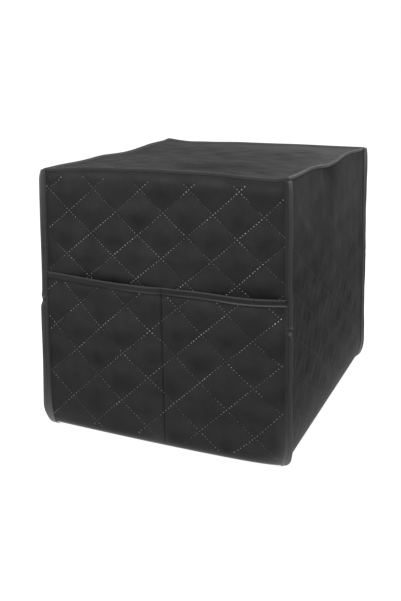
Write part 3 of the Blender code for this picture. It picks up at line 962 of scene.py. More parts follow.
def make_side_cloth(side, settings, materials):
    """Make an upright panel whose hem rolls under and turns up inside."""
    hem = hem_section(PLAIN_HEM)
    if side == "front":
        # The pocket's cloth wraps round the front's plain edge, so the front ends in the roll.
        hem[:, 0] += hem_section(POCKET_HEM)[0, 0] - hem[0, 0]
        hem = hem[:FRONT_HEM_ROWS]
    return hemmed_sheet(side, hem, cloth_top_edge, materials, (f"panel_{side}",), settings)


def make_pocket_cloth(settings, materials):
    """Make the panel over the lower front, which is sewn down at its sides, hem and divider."""
    hem = hem_section(POCKET_HEM)
    return hemmed_sheet("pocket", hem, mouth_top_edge, materials, ("pocket_panel",), settings)


# ---------------------------------------------------------------- materials
def live(sockets, name=None):
    """Return the first socket that is in use, or the one in use that has a name."""
    return next(s for s in sockets if s.enabled and name in (None, s.name))


class Nodes:
    """A node tree, with short calls that add a node and join it up."""

    def __init__(self, tree):
        self.tree = tree
        self.shader = tree.nodes.get("Principled BSDF")

    def add(self, kind, inputs=(), **values):
        """Add a node with its own values, then set its inputs, found by number or by name."""
        node = self.tree.nodes.new(kind)
        for key, value in values.items():
            setattr(node, key, value)
        for key, value in dict(inputs).items():
            self.set(node.inputs[key] if isinstance(key, int) else live(node.inputs, key), value)
        return node

    def set(self, socket, value):
        """Join a socket to another, or give it a plain value."""
        if isinstance(value, bpy.types.NodeSocket):
            self.tree.links.new(value, socket)
        else:
            socket.default_value = value

    def shade(self, **inputs):
        """Set the shader's inputs, with low lines in their names for spaces."""
        for key, value in inputs.items():
            self.set(self.shader.inputs[key.replace("_", " ")], value)

    def attribute(self, name):
        return self.add("ShaderNodeAttribute", attribute_name=name).outputs["Fac"]

    def carried(self, name):
        """Add what each point of a mesh carries under a name, as a vector."""
        kind = "GeometryNodeInputNamedAttribute"
        return live(self.add(kind, {"Name": name}, data_type="FLOAT_VECTOR").outputs)

    def place(self):
        return self.add("ShaderNodeTexCoord").outputs["Object"]

    def math(self, operation, a, b=0.0):
        return self.add("ShaderNodeMath", {0: a, 1: b}, operation=operation).outputs[0]

    def dyed(self, colour, tone):
        """Add a colour that is scaled by a tone."""
        inputs = {0: tuple(colour), "Scale": tone}
        return self.add("ShaderNodeVectorMath", inputs, operation="SCALE").outputs["Vector"]

    def spread(self, value, middle, either_way):
        """Add a value that a noise carries this far either way of its middle."""
        ends = {"From Min": 0.3, "From Max": 0.7, "To Min": middle - either_way,
                "To Max": middle + either_way}
        return self.add("ShaderNodeMapRange", {"Value": value} | ends).outputs["Result"]

    def noise(self, where, scale, detail=2.0, roughness=0.5):
        inputs = {"Vector": where, "Scale": scale, "Detail": detail, "Roughness": roughness}
        return self.add("ShaderNodeTexNoise", inputs).outputs["Fac"]

    def threads(self, where, per_metre, direction):
        """Add fine bands, a set number of threads to the metre."""
        at_scale_one = 20 / (2 * pi)
        inputs = {"Vector": where, "Scale": per_metre / at_scale_one, "Distortion": 0.6,
                  "Detail": 1.0, "Detail Scale": 0.4}
        wave = self.add(
            "ShaderNodeTexWave", inputs, wave_type="BANDS", bands_direction=direction
        )
        return wave.outputs["Fac"]

    def bump(self, height, strength, distance):
        inputs = {"Height": height, "Strength": strength, "Distance": distance}
        return self.add("ShaderNodeBump", inputs).outputs["Normal"]


def new_material(name):
    """Make an empty material, and return it with its nodes."""
    material = bpy.data.materials.new(name)
    material.use_nodes = True
    return material, Nodes(material.node_tree)


# A cloth's name, how much paler it is than its colour setting, its roughness and sheen, its
# threads to the metre, and how much its tone differs from speck to speck and patch to patch.
Weave = namedtuple("Weave", "name paleness roughness sheen threads specks patches")
WEAVES = {
    "face": Weave("charcoal_quilted_cloth", 1.0, 0.92, 0.01, 1400, 0.16, 0.07),
    "reverse": Weave("charcoal_lining_side", 1.5, 0.92, 0.02, 1100, 0.12, 0.06),
    "tape": Weave("charcoal_binding_tape", 1.0, 0.68, 0.03, 1900, 0.1, 0.07),
}


def woven_cloth(weave, colour):
    """Make a woven cloth: fine crossed threads, soft patches of tone, lint and a faint sheen, with
    the mesh's painted light and shade scaling its colour.
    """
    material, n = new_material(weave.name)
    place = n.place()
    lay = n.add("ShaderNodeUVMap", uv_map="lay").outputs["UV"]
    crossed = n.math(
        "MULTIPLY", n.threads(lay, weave.threads, "X"), n.threads(lay, weave.threads * 0.92, "Y")
    )
    patches = n.noise(place, scale=17.0, detail=3.0, roughness=0.55)
    lint = n.noise(place, scale=620.0, roughness=0.7)
    tone = n.math(
        "MULTIPLY", n.spread(patches, 1, weave.patches), n.spread(lint, 1, weave.specks)
    )
    proud = {"Value": crossed, "To Min": 0.90, "To Max": 1.08}
    tone = n.math("MULTIPLY", tone, n.add("ShaderNodeMapRange", proud).outputs["Result"])
    # The mesh's uneven tone and painted light and shade scale the base colour, the specular and the
    # sheen alike.
    tone_and_light_factor = n.math("ADD", n.attribute("tone_and_painted_light"), 1.0)
    height = n.math("ADD", n.math("MULTIPLY", crossed, 0.6), n.math("MULTIPLY", lint, 0.5))
    n.shade(
        Base_Color=n.dyed(colour * weave.paleness, n.math("MULTIPLY", tone, tone_and_light_factor)),
        Roughness=n.spread(lint, weave.roughness, 0.05),
        Normal=n.bump(height, strength=0.45, distance=0.0003),
        Specular_IOR_Level=n.math("MULTIPLY", tone_and_light_factor, 0.05),
        Sheen_Weight=n.math("MULTIPLY", tone_and_light_factor, weave.sheen),
        Sheen_Roughness=0.45,
    )
    return material


def sewing_thread(name, colour):
    """Make a twisted thread whose tone, painted glint included, varies stitch by stitch."""
    material, n = new_material(name)
    twist = n.noise(n.place(), scale=1500.0, detail=1.0)
    tone = n.math("MULTIPLY", n.attribute("tone"), n.spread(twist, 1, 0.2))
    normal = n.bump(twist, strength=0.3, distance=0.0002)
    n.shade(Base_Color=n.dyed(colour, tone), Normal=normal, Roughness=0.6)
    return material


def cloth_material(key):
    """Return one of the cover's cloths by its short name, made on first use."""
    settings, weave = bpy.context.scene.cover_cloth, WEAVES[key]
    colour = settings.tape_colour if key == "tape" else settings.cloth_colour
    return bpy.data.materials.get(weave.name) or woven_cloth(weave, np.array(colour))


# ---------------------------------------------------------------- stitches
# Where stitches lie, their outward normals, the way each runs and its thread's tone.
Stitch = namedtuple("Stitch", "place normal along tone")


def stitch_tree():
    """Build the node tree that sews one rounded stitch at every point of a mesh."""
    tree = bpy.data.node_groups.new("sew_stitches", "GeometryNodeTree")
    for name, kind, default in (
        ("Geometry", "Geometry", None),
        ("Stitch Length", "Float", 0.0019),
        ("Stitch Width", "Float", 0.0013),
        ("Stitch Height", "Float", 0.0009),
        ("Unevenness", "Float", 0.15),
        ("Seed", "Int", 5),
        ("Thread", "Material", None),
    ):
        socket = tree.interface.new_socket(
            name, in_out="INPUT", socket_type=f"NodeSocket{kind}"
        )
        if default is not None:
            socket.default_value = default
    tree.interface.new_socket("Geometry", in_out="OUTPUT", socket_type="NodeSocketGeometry")
    n = Nodes(tree)
    given = n.add("NodeGroupInput").outputs
    bead = n.add("GeometryNodeMeshUVSphere", {"Segments": 6, "Rings": 4, "Radius": 0.5})
    size = n.add("ShaderNodeCombineXYZ", {
        "X": given["Stitch Length"], "Y": given["Stitch Width"], "Z": given["Stitch Height"],
    })
    chance = n.add("FunctionNodeRandomValue", {
        "Min": n.math("SUBTRACT", 1.0, given["Unevenness"]),
        "Max": n.math("ADD", 1.0, given["Unevenness"]),
        "Seed": given["Seed"],
    }, data_type="FLOAT")
    scale = n.add(
        "ShaderNodeVectorMath", {0: size.outputs[0], "Scale": live(chance.outputs)},
        operation="SCALE",
    )
    normal, along = (n.carried(name) for name in STITCH_LIE)
    turn = n.add(
        "FunctionNodeAxesToRotation", {"Primary Axis": normal, "Secondary Axis": along},
        primary_axis="Z", secondary_axis="X",
    )
    sewn = n.add("GeometryNodeInstanceOnPoints", {
        "Points": given["Geometry"], "Instance": bead.outputs["Mesh"],
        "Rotation": turn.outputs["Rotation"], "Scale": scale.outputs["Vector"],
    })
    whole = n.add("GeometryNodeRealizeInstances", {"Geometry": sewn.outputs["Instances"]})
    smooth = n.add("GeometryNodeSetShadeSmooth", {"Geometry": whole.outputs["Geometry"]})
    dyed = n.add("GeometryNodeSetMaterial", {
        "Geometry": smooth.outputs["Geometry"], "Material": given["Thread"],
    })
    n.add("NodeGroupOutput", {"Geometry": dyed.outputs["Geometry"]})
    return tree


def stitch_points(name, stitches):
    """Make a mesh with a point for each stitch, which carries how it lies and its tone."""
    points = bpy.data.meshes.new(name)
    points.from_pydata(np.concatenate([s.place for s in stitches]).tolist(), [], [])
    for key, kind, field, values in (
        (STITCH_LIE[0], "FLOAT_VECTOR", "vector", [s.normal for s in stitches]),
        (STITCH_LIE[1], "FLOAT_VECTOR", "vector", [s.along for s in stitches]),
        ("tone", "FLOAT", "value", [s.tone for s in stitches]),
    ):
        layer = points.attributes.new(key, kind, "POINT")
        layer.data.foreach_set(field, np.concatenate(values).astype(np.float32).ravel())
    return points


def sew(name, stitches, thread, sizes):
    """Make a piece of stitches from their places, with the node tree applied to plain mesh."""
    tree = bpy.data.node_groups.get("sew_stitches") or stitch_tree()
    points = stitch_points(name + "_points", stitches)
    holder = link(points.name, points)
    modifier = holder.modifiers.new("sew", "NODES")
    modifier.node_group = tree
    names = ("Stitch Length", "Stitch Width", "Stitch Height", "Thread")
    wanted = dict(zip(names, (*sizes, thread)))
    for item in tree.interface.items_tree:
        if item.item_type == "SOCKET" and item.in_out == "INPUT" and item.name in wanted:
            modifier[item.identifier] = wanted[item.name]
    depsgraph = bpy.context.evaluated_depsgraph_get()
    mesh = bpy.data.meshes.new_from_object(
        holder.evaluated_get(depsgraph), preserve_all_data_layers=True, depsgraph=depsgraph
    )
    bpy.data.objects.remove(holder)
    bpy.data.meshes.remove(points)
    for key in STITCH_LIE:
        mesh.attributes.remove(mesh.attributes[key])
    mesh.name = name
    piece = link(name, mesh)
    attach(piece, BODY)
    return piece


def quilting_stitches(surface, lattice, inside, look):
    """Return the stitches along a panel's quilting lines, where inside(x, y) allows them."""
    chance = np.random.default_rng(lattice.seed + SEED_THREAD)
    found = []
    steps = np.arange(-LINE_REACH * STITCHES_PER_EDGE, LINE_REACH * STITCHES_PER_EDGE)
    cross = steps % STITCHES_PER_EDGE == 0
    for rising, family_tone in enumerate((look.falling_tone, look.rising_tone)):
        for line in range(-LINE_REACH, LINE_REACH + 1):
            phase = chance.uniform(0, 2 * pi, 2)
            scatter = chance.uniform(*TONE_SCATTER, len(steps))
            shift = chance.uniform(-PLACE_SCATTER, PLACE_SCATTER, len(steps))
            share = steps / STITCHES_PER_EDGE + np.where(cross, 0, shift)
            a, b = (share, line) if rising else (line, share)
            column, row = a + b - lattice.odd, a - b
            x, y = lattice_place(lattice, column, row)
            keep = inside(x, y)
            if rising:
                keep = keep & ~cross
            if not keep.any():
                continue
            # The tone is the family's painted glint, rising and falling along the line, times a
            # chance scatter.
            shine = SHINE + ripple(share, ((0.30, 2.1, phase[0]), (0.25, 4.7, phase[1])))
            tone = family_tone * np.clip(shine, LEAST_SHINE, None) * scatter
            x, y, tone = x[keep], y[keep], tone[keep]
            ahead = 0.01
            on_x, on_y = lattice_place(lattice, column + ahead, row + (ahead if rising else -ahead))
            normal, here = surface_normals(surface, x, y), surface(x, y)
            along = unit(surface(on_x[keep], on_y[keep]) - here)
            found.append(Stitch(here + normal * look.proud * MM, normal, along, tone))
    return found


# ---------------------------------------------------------------- top panel
def top_plane(u, v):
    """Return points of the top panel's plain outer face, at shares to the right and to the back."""
    u, v = np.asarray(u, float), np.asarray(v, float)
    corners = {name: corner_at(name, 1.0) for name in CORNERS}
    front = blend(corners["front_left"], corners["front_right"], u[..., None])
    back = blend(corners["back_left"], corners["back_right"], u[..., None])
    point = blend(front, back, v[..., None])
    point[..., 2] = SEAM_Z + top_rise(u, v)
    return point


def top_surface(settings):
    """Return the top panel as a function of places on it, y from back to front, and the face."""

    def surface(x, y, reverse=False):
        x, y = np.broadcast_arrays(np.asarray(x, float), np.asarray(y, float))
        near = np.minimum(np.minimum(x, LAY_WIDTH - x), np.minimum(y, LAY_WIDTH - y))
        fade = seam_fade(near, *TOP_PANEL_FADE)
        puffs, folds = panel_relief("top", x, y, TOP_SWELL, settings)
        rise = face_rise("top", puffs * fade, folds * fade, reverse)
        return top_plane(x / LAY_WIDTH, 1 - y / LAY_WIDTH) + UP * (rise * MM)[..., None]

    return surface


def make_top_cloth(settings, materials):
    """Make the sagging top panel, mitred where it meets the sides."""
    surface = top_surface(settings)
    wide, deep = side_width("front"), side_width("right")
    columns = panel_columns("front")
    rows = np.linspace(SEAM_TIP / deep, 1 - SEAM_TIP / deep, int(deep / MM / GRID_STEP))
    x, y = np.meshgrid(columns * LAY_WIDTH, rows * LAY_WIDTH)
    inner_x, inner_y = np.meshgrid(
        inner_share(columns, wide) * LAY_WIDTH, inner_share(rows, deep) * LAY_WIDTH
    )
    return closed_sheet(
        "cloth_top", surface(x, y), surface(inner_x, inner_y, True), np.stack([x, y], axis=-1),
        nap_wear("top", x, y), materials, ("panel_top",),
    )


# ---------------------------------------------------------------- tapes
def folded_section(line, thickness, edge_thins=EDGE_THINS):
    """Return a tape's closed section from its middle line: its outer face, then its inner one."""
    edge_reach = 0.08
    line = np.array(line)
    tangent = unit(np.gradient(line, axis=0))
    normal = np.stack([-tangent[:, 1], tangent[:, 0]], axis=-1)
    from_edge = 1 - np.abs(np.linspace(-1, 1, len(line)))
    half = thickness / 2 * (1 - edge_thins * hump(from_edge / edge_reach))
    outer, inner = line + normal * half[:, None], line - normal * half[:, None]
    if outer[:, 0].mean() < inner[:, 0].mean():
        outer, inner = inner, outer
    return np.concatenate([outer, inner[::-1]]) * MM


def side_tape_line(reach=1.0):
    """Return the side tapes' whole middle line, its fin scaled by reach."""
    half = [(along * (reach if along > 0 else 1.0), across) for along, across in SIDE_TAPE]
    return half + [(along, -across) for along, across in half[-2::-1]]


def cut_width(line):
    """Return the width a folded tape is cut to: the length of its section laid flat."""
    return run_along(np.array(line))[-1] * MM


def loft(name, rings, lay, tone_and_painted_light, closed, material, replaced):
    """Make a tape through rings of equal count, either joined end to end or with flat ends."""
    rings, lay, tone_and_painted_light = np.array(rings), np.array(lay), np.array(tone_and_painted_light)
    count, around = rings.shape[:2]
    index = np.arange(count * around).reshape(count, around)
    ahead = np.roll(index, -1, axis=0) if closed else index[1:]
    here = index if closed else index[:-1]
    faces = np.stack(
        [here, np.roll(here, -1, axis=1), np.roll(ahead, -1, axis=1), ahead], axis=-1
    ).reshape(-1, 4).tolist()
    if not closed:
        faces += [index[0][::-1].tolist(), index[-1].tolist()]
    piece = add_piece(
        name, rings.reshape(-1, 3).tolist(), faces, (material,), (replaced,)
    )
    add_uv(piece.data, lay.reshape(-1, 2))
    add_tone_and_painted_light(piece.data, tone_and_painted_light)
    fix_direction(piece.data)
    return piece


def fix_direction(mesh):
    """Turn a closed mesh's faces outwards if its volume comes out below zero."""
    points = np.zeros(len(mesh.vertices) * 3)
    mesh.vertices.foreach_get("co", points)
    points = points.reshape(-1, 3)
    mesh.calc_loop_triangles()
    corners = np.zeros(len(mesh.loop_triangles) * 3, dtype=np.int32)
    mesh.loop_triangles.foreach_get("vertices", corners)
    a, b, c = (points[corners.reshape(-1, 3)[:, i]] for i in range(3))
    if np.einsum("ij,ij->i", a, np.cross(b, c)).sum() < 0:
        mesh.flip_normals()


def tape_reach(name, height):
    """Return how far a side tape stands out at a height above the hem."""
    places = (0.0, PUCKER_HEIGHT - PUCKER_REACH, PUCKER_HEIGHT + PUCKER_REACH, COVER_HEIGHT)
    return float(np.interp(height, places, TAPE_REACH[name]))


def end_tapers(look, height, top):
    """Return a side tape's length at a height, shorter and rounded at its cut ends."""
    length = look.long
    for from_end, share, reach in (
        (height - look.start, look.hem_end, look.hem_taper),
        (top - height, look.top_end, TOP_TAPER),
    ):
        length *= blend(share, 1.0, sin(pi / 2 * min(1.0, from_end / reach)))
    return length


def seam_at(name, side_before, side_after, height):
    """Return the middle of an upright seam at a height, drawn in where the hems roll under."""
    curl, roll = 0.0, PLAIN_HEM.roll * MM
    if height < roll:
        most_curl = 0.7 * roll
        curl = min(roll - (roll ** 2 - (roll - height) ** 2) ** 0.5, most_curl)
    seam = corner_at(name, height / COVER_HEIGHT)
    for side in (side_before, side_after):
        seam = seam - outward(side) * (curl + hem_ease(side, height))
    seam[2] = HEM_Z + height + float(hem_lift(side_after, 0.0, height))
    return seam


def pocket_step(name, section, height):
    """Return how far a front tape's points step out to lie over the pocket panel's edge."""
    sewn = {"front_right": -1.0, "front_left": 1.0}.get(name, 0.0)
    over_width, up_fin, under_mouth = 2.4 * MM, 6 * MM, 4 * MM
    beside = np.clip(section[:, 1] * sewn / over_width, 0, 1)
    beside = beside * (1 - section[:, 0].clip(0) / up_fin).clip(0)
    below_mouth = float(ease((MOUTH_HEIGHT - height) / under_mouth))
    return (SEW_GAP + PANEL_T) * below_mouth * beside


def side_tape_wear_and_painted_light(look, section, height, top, pucker):
    """Return how much paler than its dye a side tape is round its section at a height: a painted
    highlight with some real wear on its fold, light and shade painted on its root, flanks and
    groove, the pucker's painted bands and the painted reflection of the floor near the hem.
    """
    along = section[:, 0] / MM
    from_top = np.exp(-(top - height) / FOLD_TOP_REACH)
    fold = blend(look.fold, look.fold_top, from_top) * (1 + ripple(height, SIDE_STREAKS))
    tones = (look.root, look.flank, look.flank, look.groove, blend(look.flank, fold, 0.5), fold)
    tone_and_painted_light = np.interp(along, TAPE_ZONES, tones) + max(0.0, look.flank) * FLANK_TOP_HIGHLIGHT * from_top
    bands = sum(
        tone * float(bell((height - pucker - above) / reach)) for tone, above, reach in PUCKER_PAINTED_BANDS
    )
    tone_and_painted_light = tone_and_painted_light + bands * look.pucker * np.interp(along, GROOVE_ZONE, (0.2, 1.0))
    return tone_and_painted_light + TAPE_HEM_REFLECTION * float(hem_painted_reflection("right", height))


def make_side_tape(name, side_before, side_after, material):
    """Make the folded tape down the seam between two sides."""
    before = outward(side_before)
    fin = unit(before + outward(side_after))
    across = np.array([-fin[1], fin[0], 0.0])
    section = folded_section(side_tape_line(), TAPE_THICKNESS)
    lean = (section[:, 0] / SIDE_TAPE[-1][0] / MM).clip(0, 1)
    around, look = run_along(section), TAPE_LOOKS[name]
    top = COVER_HEIGHT + float(edge_rise(side_after, 0.0)) + TAPE_TOP_STANDS
    pucker = PUCKER_HEIGHT - look.drop
    close = pucker + np.arange(-PUCKER_RINGS, PUCKER_RINGS + 1) * PUCKER_STEP
    heights = np.sort(np.concatenate([np.arange(look.start, top, TAPE_STEP), [top], close]))
    rings, lay, tone_and_painted_light = [], [], []
    for height in heights:
        kink = look.pucker * float(bell((height - pucker) / PUCKER_REACH))
        reach = tape_reach(name, height) * end_tapers(look, height, top)
        reach *= (1 - PUCKER_SHORTENS * kink) * (1 + UNEVEN * sin(height * 47 + before[1] * 5))
        sway = ripple(height, ((SWAY, 43, before[0] * 3), (SHIVER, 143, 1.7)))
        sway += PUCKER_THROWS * sin(pi * (height - pucker) / PUCKER_REACH) * kink
        length = np.where(section[:, 0] > 0, section[:, 0] * reach, section[:, 0])
        ring = seam_at(name, side_before, side_after, height) + fin * length[:, None]
        ring = ring + across * (section[:, 1] + lean * sway)[:, None]
        rings.append(ring + outward("front") * pocket_step(name, section, height)[:, None])
        lay.append(np.stack([around, np.full(len(around), height)], axis=-1))
        tone_and_painted_light.append(side_tape_wear_and_painted_light(look, section, height, top, pucker))
    return loft(f"tape_{name}", rings, lay, tone_and_painted_light, False, material, f"binding_{name}")


def top_tape_stations():
    """Return where the top tape's rings stand: side, share along it, way out and step to it."""
    found = []
    for side in SIDES:
        width, here = side_width(side), outward(side)
        before, after = outward(neighbour(side, -1)), outward(neighbour(side, 1))
        turning = [
            ((0.25 + 0.5 * i) * MM / width, (CORNER_RINGS + 0.5 + i) / (2 * CORNER_RINGS))
            for i in range(CORNER_RINGS)
        ]
        straight = np.linspace(STRAIGHT_START, 1 - STRAIGHT_START, int(width / MM / GRID_STEP))
        for s, turned in turning:
            found.append((side, s, unit(blend(before, here, turned)), CORNER_STEP))
        for s in straight:
            found.append((side, s, here, GRID_STEP * MM))
        for s, turned in reversed(turning):
            found.append((side, 1 - s, unit(blend(after, here, turned)), CORNER_STEP))
    return found


def make_top_tape(material):
    """Make the one tape that runs round the top seam, rounded outside at the corners."""
    section = folded_section(TOP_TAPE, TOP_TAPE_THICKNESS)
    around, out, up = run_along(section), section[:, 0] / MM, section[:, 1] / MM
    # The crest gets a painted highlight, and the back and lower edges light painted into the shade
    # under their lips.
    crest_at, crest_width, edge_width = 0.1, 0.65, 1.2
    crest = hump((out - crest_at) / crest_width) * (up > 0)
    low_edge, back_edge = -2.0, TOP_TAPE[-1][0]
    painted_edge_light = BACK_EDGE_PAINTED_LIGHT * hump((out - back_edge) / edge_width)
    painted_edge_light = painted_edge_light + LOW_EDGE_PAINTED_LIGHT * hump((up - low_edge) / edge_width)
    rings, lay, tone_and_painted_light, run = [], [], [], 0.0
    for side, s, way, step in top_tape_stations():
        run += step
        rings.append(top_ring(side, s, way, section))
        lay.append(np.stack([around, np.full(len(around), run)], axis=-1))
        streak = 1 + ripple(run, TOP_STREAKS)
        tone_and_painted_light.append(crest * TOP_CREST_HIGHLIGHT[side] * streak + painted_edge_light)
    return loft("tape_top", rings, lay, tone_and_painted_light, True, material, "binding_top")


def top_ring(side, s, out, section):
    """Return the top tape's section at a share s along a side, mitred on the top panel."""
    inward = np.clip(-section[:, 0], 0, None)
    wide, deep = side_width(side), side_width(neighbour(side, 1))
    share, off = inward / wide + s * (1 - 2 * inward / wide), inward / deep
    u, v = {
        "front": (share, off), "right": (1 - off, share), "back": (1 - share, 1 - off),
        "left": (off, 1 - share),
    }[side]
    outside = out * np.clip(section[:, 0], 0, None)[:, None]
    return top_plane(u, v) + outside + UP * section[:, 1][:, None]


def make_mouth_tape(material):
    """Make the folded tape along the pockets' mouths, drawn in where the divider is sewn."""
    section = folded_section(MOUTH_TAPE, TAPE_THICKNESS, 0.0)
    around, up = run_along(section), section[:, 1] / MM
    flank_starts = 1.5 * MM
    on_flank = section[:, 0] > flank_starts
    low = np.interp(up, MOUTH_EDGE_ZONE, (1.0, 0.0))
    flank = np.interp(up, MOUTH_EDGE_ZONE + MOUTH_FOLD_ZONE, (0.0, 1.0, 1.0, 0.0))
    fold = np.interp(up, MOUTH_FOLD_ZONE, (0.0, MOUTH_FOLD_HIGHLIGHT))
    s = panel_columns("front", True)[:, None]
    width, foot = side_width("front"), mouth_height(s) - MOUTH_BAND
    notch = hump((s - DIVIDER) * width / (NOTCH_WIDTH * MM))
    flush = np.interp(s, FLUSH_ENDS, (1, 0))
    drawn_in = (NOTCH_DEPTH * notch + FLUSH_DEPTH * flush * low) * MM * on_flank
    out = SEW_GAP + pocket_gap(s, foot) + section[:, 0] - drawn_in
    rings = side_point("front", np.broadcast_to(s, out.shape), foot + section[:, 1], 0.0, out)
    lay = np.stack(np.broadcast_arrays(around, s * width), axis=-1)
    # The tape's painted light and shade: highlights on its lower edge and fold, shade on its flank
    # and in the notch.
    tone_and_painted_light = low * np.interp(s, *zip(*MOUTH_LOWER_EDGE)) + flank * np.interp(s, *zip(*MOUTH_FLANK))
    tone_and_painted_light = tone_and_painted_light + fold - NOTCH_PAINTED_SHADE * notch
    return loft("tape_mouth", rings, lay, tone_and_painted_light, False, material, "pocket_binding")


# ---------------------------------------------------------------- settings
class CoverClothSettings(bpy.types.PropertyGroup):
    """Sizes and colours of the cloth and the tapes."""

    puff_height: bpy.props.FloatProperty(
        name="Puff Height", description="How far the padding rises between quilting lines",
        default=0.0013, min=0.0, max=0.004, unit="LENGTH", precision=4,
    )
    puff_unevenness: bpy.props.FloatProperty(
        name="Puff Unevenness", description="How much one diamond's padding differs from another's",
        default=0.35, min=0.0, max=1.0, subtype="FACTOR",
    )
    fold_depth: bpy.props.FloatProperty(
        name="Fold Depth", description="Strength of the folds and dents placed by hand",
        default=1.0, min=0.0, max=2.0,
    )
    cloth_colour: bpy.props.FloatVectorProperty(
        name="Cloth Colour", description="Colour of the quilted cloth",
        default=(0.0165, 0.0165, 0.0169), size=3, min=0.0, max=1.0, subtype="COLOR",
    )
    tape_colour: bpy.props.FloatVectorProperty(
        name="Tape Colour", description="Colour of the binding tape",
        default=(0.0240, 0.0240, 0.0246), size=3, min=0.0, max=1.0, subtype="COLOR",
    )


class CoverStitchSettings(bpy.types.PropertyGroup):
    """Sizes and colour of the quilting stitches."""

    thread_colour: bpy.props.FloatVectorProperty(
        name="Thread Colour", description="Colour of the quilting thread",
        default=(0.30, 0.30, 0.31), size=3, min=0.0, max=1.0, subtype="COLOR",
    )
    length: bpy.props.FloatProperty(
        name="Stitch Length", description="Length of one quilting stitch",
        default=0.0017, min=0.0005, max=0.01, unit="LENGTH", precision=4,
    )
    width: bpy.props.FloatProperty(
        name="Stitch Width", description="Width of one quilting stitch",
        default=0.0012, min=0.0003, max=0.01, unit="LENGTH", precision=4,
    )
    height: bpy.props.FloatProperty(
        name="Stitch Height", description="Thickness of one quilting stitch",
        default=0.0009, min=0.0003, max=0.01, unit="LENGTH", precision=4,
    )


class CoverStageSettings(bpy.types.PropertyGroup):
    """Light, floor and camera."""

    room_light: bpy.props.FloatProperty(
        name="Room Light", description="Strength of the even light from all round",
        default=1.0, min=0.0, max=10.0,
    )
    key_power: bpy.props.FloatProperty(
        name="Key Light", description="Power of the large soft light above the front",
        default=20.0, min=0.0, max=1000.0, unit="POWER",
    )
    top_power: bpy.props.FloatProperty(
        name="Top Light", description="Power of the large soft light overhead",
        default=14.0, min=0.0, max=1000.0, unit="POWER",
    )
    floor_glow: bpy.props.FloatProperty(
        name="Floor Glow", description="How much light comes through the pale floor",
        default=0.9, min=0.0, max=2.0,
    )
    lens: bpy.props.FloatProperty(
        name="Lens", description="Focal length of the camera",
        default=41.28, min=10.0, max=200.0, unit="CAMERA",
    )


# ---------------------------------------------------------------- operators
def cloth_materials():
    """Return the materials of a panel's face and of its reverse."""
    return cloth_material("face"), cloth_material("reverse")


class COVER_OT_side_panels(bpy.types.Operator):
    """Make the four upright panels and their rolled hems"""

    bl_idname = "cover.side_panels"
    bl_label = "Upright Panels"

    def execute(self, context):
        settings = context.scene.cover_cloth
        for side in SIDES:
            piece = make_side_cloth(side, settings, cloth_materials())
            turned = 0.0 if side == "front" else HEM_TURNED
            flat = (side_width(side) + SIDE_EASE, COVER_HEIGHT + turned)
        return {"FINISHED"}


class COVER_OT_top_panel(bpy.types.Operator):
    """Make the top panel, which sags between its seams"""

    bl_idname = "cover.top_panel"
    bl_label = "Top Panel"

    def execute(self, context):
        piece = make_top_cloth(context.scene.cover_cloth, cloth_materials())
        flat = (side_width("front") - TOP_TUCK, side_width("right") - TOP_TUCK)
        return {"FINISHED"}


class COVER_OT_pocket_panel(bpy.types.Operator):
    """Make the pocket panel over the lower front"""

    bl_idname = "cover.pocket_panel"
    bl_label = "Pocket Panel"

    def execute(self, context):
        piece = make_pocket_cloth(context.scene.cover_cloth, cloth_materials())
        flat = (side_width("front") + POCKET_SLACK, MOUTH_HEIGHT + HEM_TURNED)
        return {"FINISHED"}


class COVER_OT_tapes(bpy.types.Operator):
    """Make the folded tapes on the seams and along the pocket mouths"""

    bl_idname = "cover.tapes"
    bl_label = "Folded Tapes"

    def execute(self, context):
        material = cloth_material("tape")
        strips = [(make_mouth_tape(material), side_width("front"), MOUTH_TAPE_CUT)]
        for name, (before, after) in {
            "front_left": ("left", "front"), "front_right": ("front", "right"),
            "back_right": ("right", "back"), "back_left": ("back", "left"),
        }.items():
            piece = make_side_tape(name, before, after, material)
            line = side_tape_line(sum(TAPE_REACH[name]) / 4)
            strips.append((piece, COVER_HEIGHT, cut_width(line)))
        round_top = sum(side_width(side) for side in SIDES)
        strips.append((make_top_tape(material), round_top, cut_width(TOP_TAPE)))
        return {"FINISHED"}


class COVER_OT_quilting(bpy.types.Operator):
    """Sew the quilting stitches on every panel"""

    bl_idname = "cover.quilting"
    bl_label = "Quilting Stitches"

    def execute(self, context):
        cloth, stitch = context.scene.cover_cloth, context.scene.cover_stitch
        sizes = (stitch.length, stitch.width, stitch.height)
        thread = sewing_thread("grey_quilting_thread", stitch.thread_colour)
        for key, lattice in LATTICES.items():
            stitches = quilting_stitches(
                panel_surface(key, cloth), lattice, stitch_area(key), QUILTING[key]
            )
            piece = sew(f"quilting_{key}", stitches, thread, sizes)
            if not piece.data.polygons:
                raise RuntimeError(f"no stitches on {key}")
        return {"FINISHED"}


def stitch_area(key):
    """Return the test for places on a flat panel that may have a quilting stitch."""
    beside, top_panel_edge, below_top, above_hem = 4.0, 5, 6.5, 0.013
    below_mouth, behind_mouth = MOUTH_BAND + 0.0012, 0.012

    def inside(x, y):
        within = (x > beside) & (x < LAY_WIDTH - beside)
        if key == "top":
            return within & (y > top_panel_edge) & (y < LAY_WIDTH - top_panel_edge)
        height, mouth = (1 - y / LAY_HEIGHT) * COVER_HEIGHT, mouth_height(x / LAY_WIDTH)
        if key == "pocket":
            return within & (height > above_hem) & (height < mouth - below_mouth)
        foot = mouth - behind_mouth if key == "front" else above_hem
        return within & (height > foot) & (y > below_top)

    return inside


class COVER_OT_stage(bpy.types.Operator):
    """Lay the pale floor, hang the soft lights and set up the camera"""

    bl_idname = "cover.stage"
    bl_label = "Stage"

    def execute(self, context):
        stage = context.scene.cover_stage
        lay_floor(stage)
        hang_lights(stage)
        place_camera(stage)
        context.scene.view_settings.view_transform = "Standard"
        return {"FINISHED"}


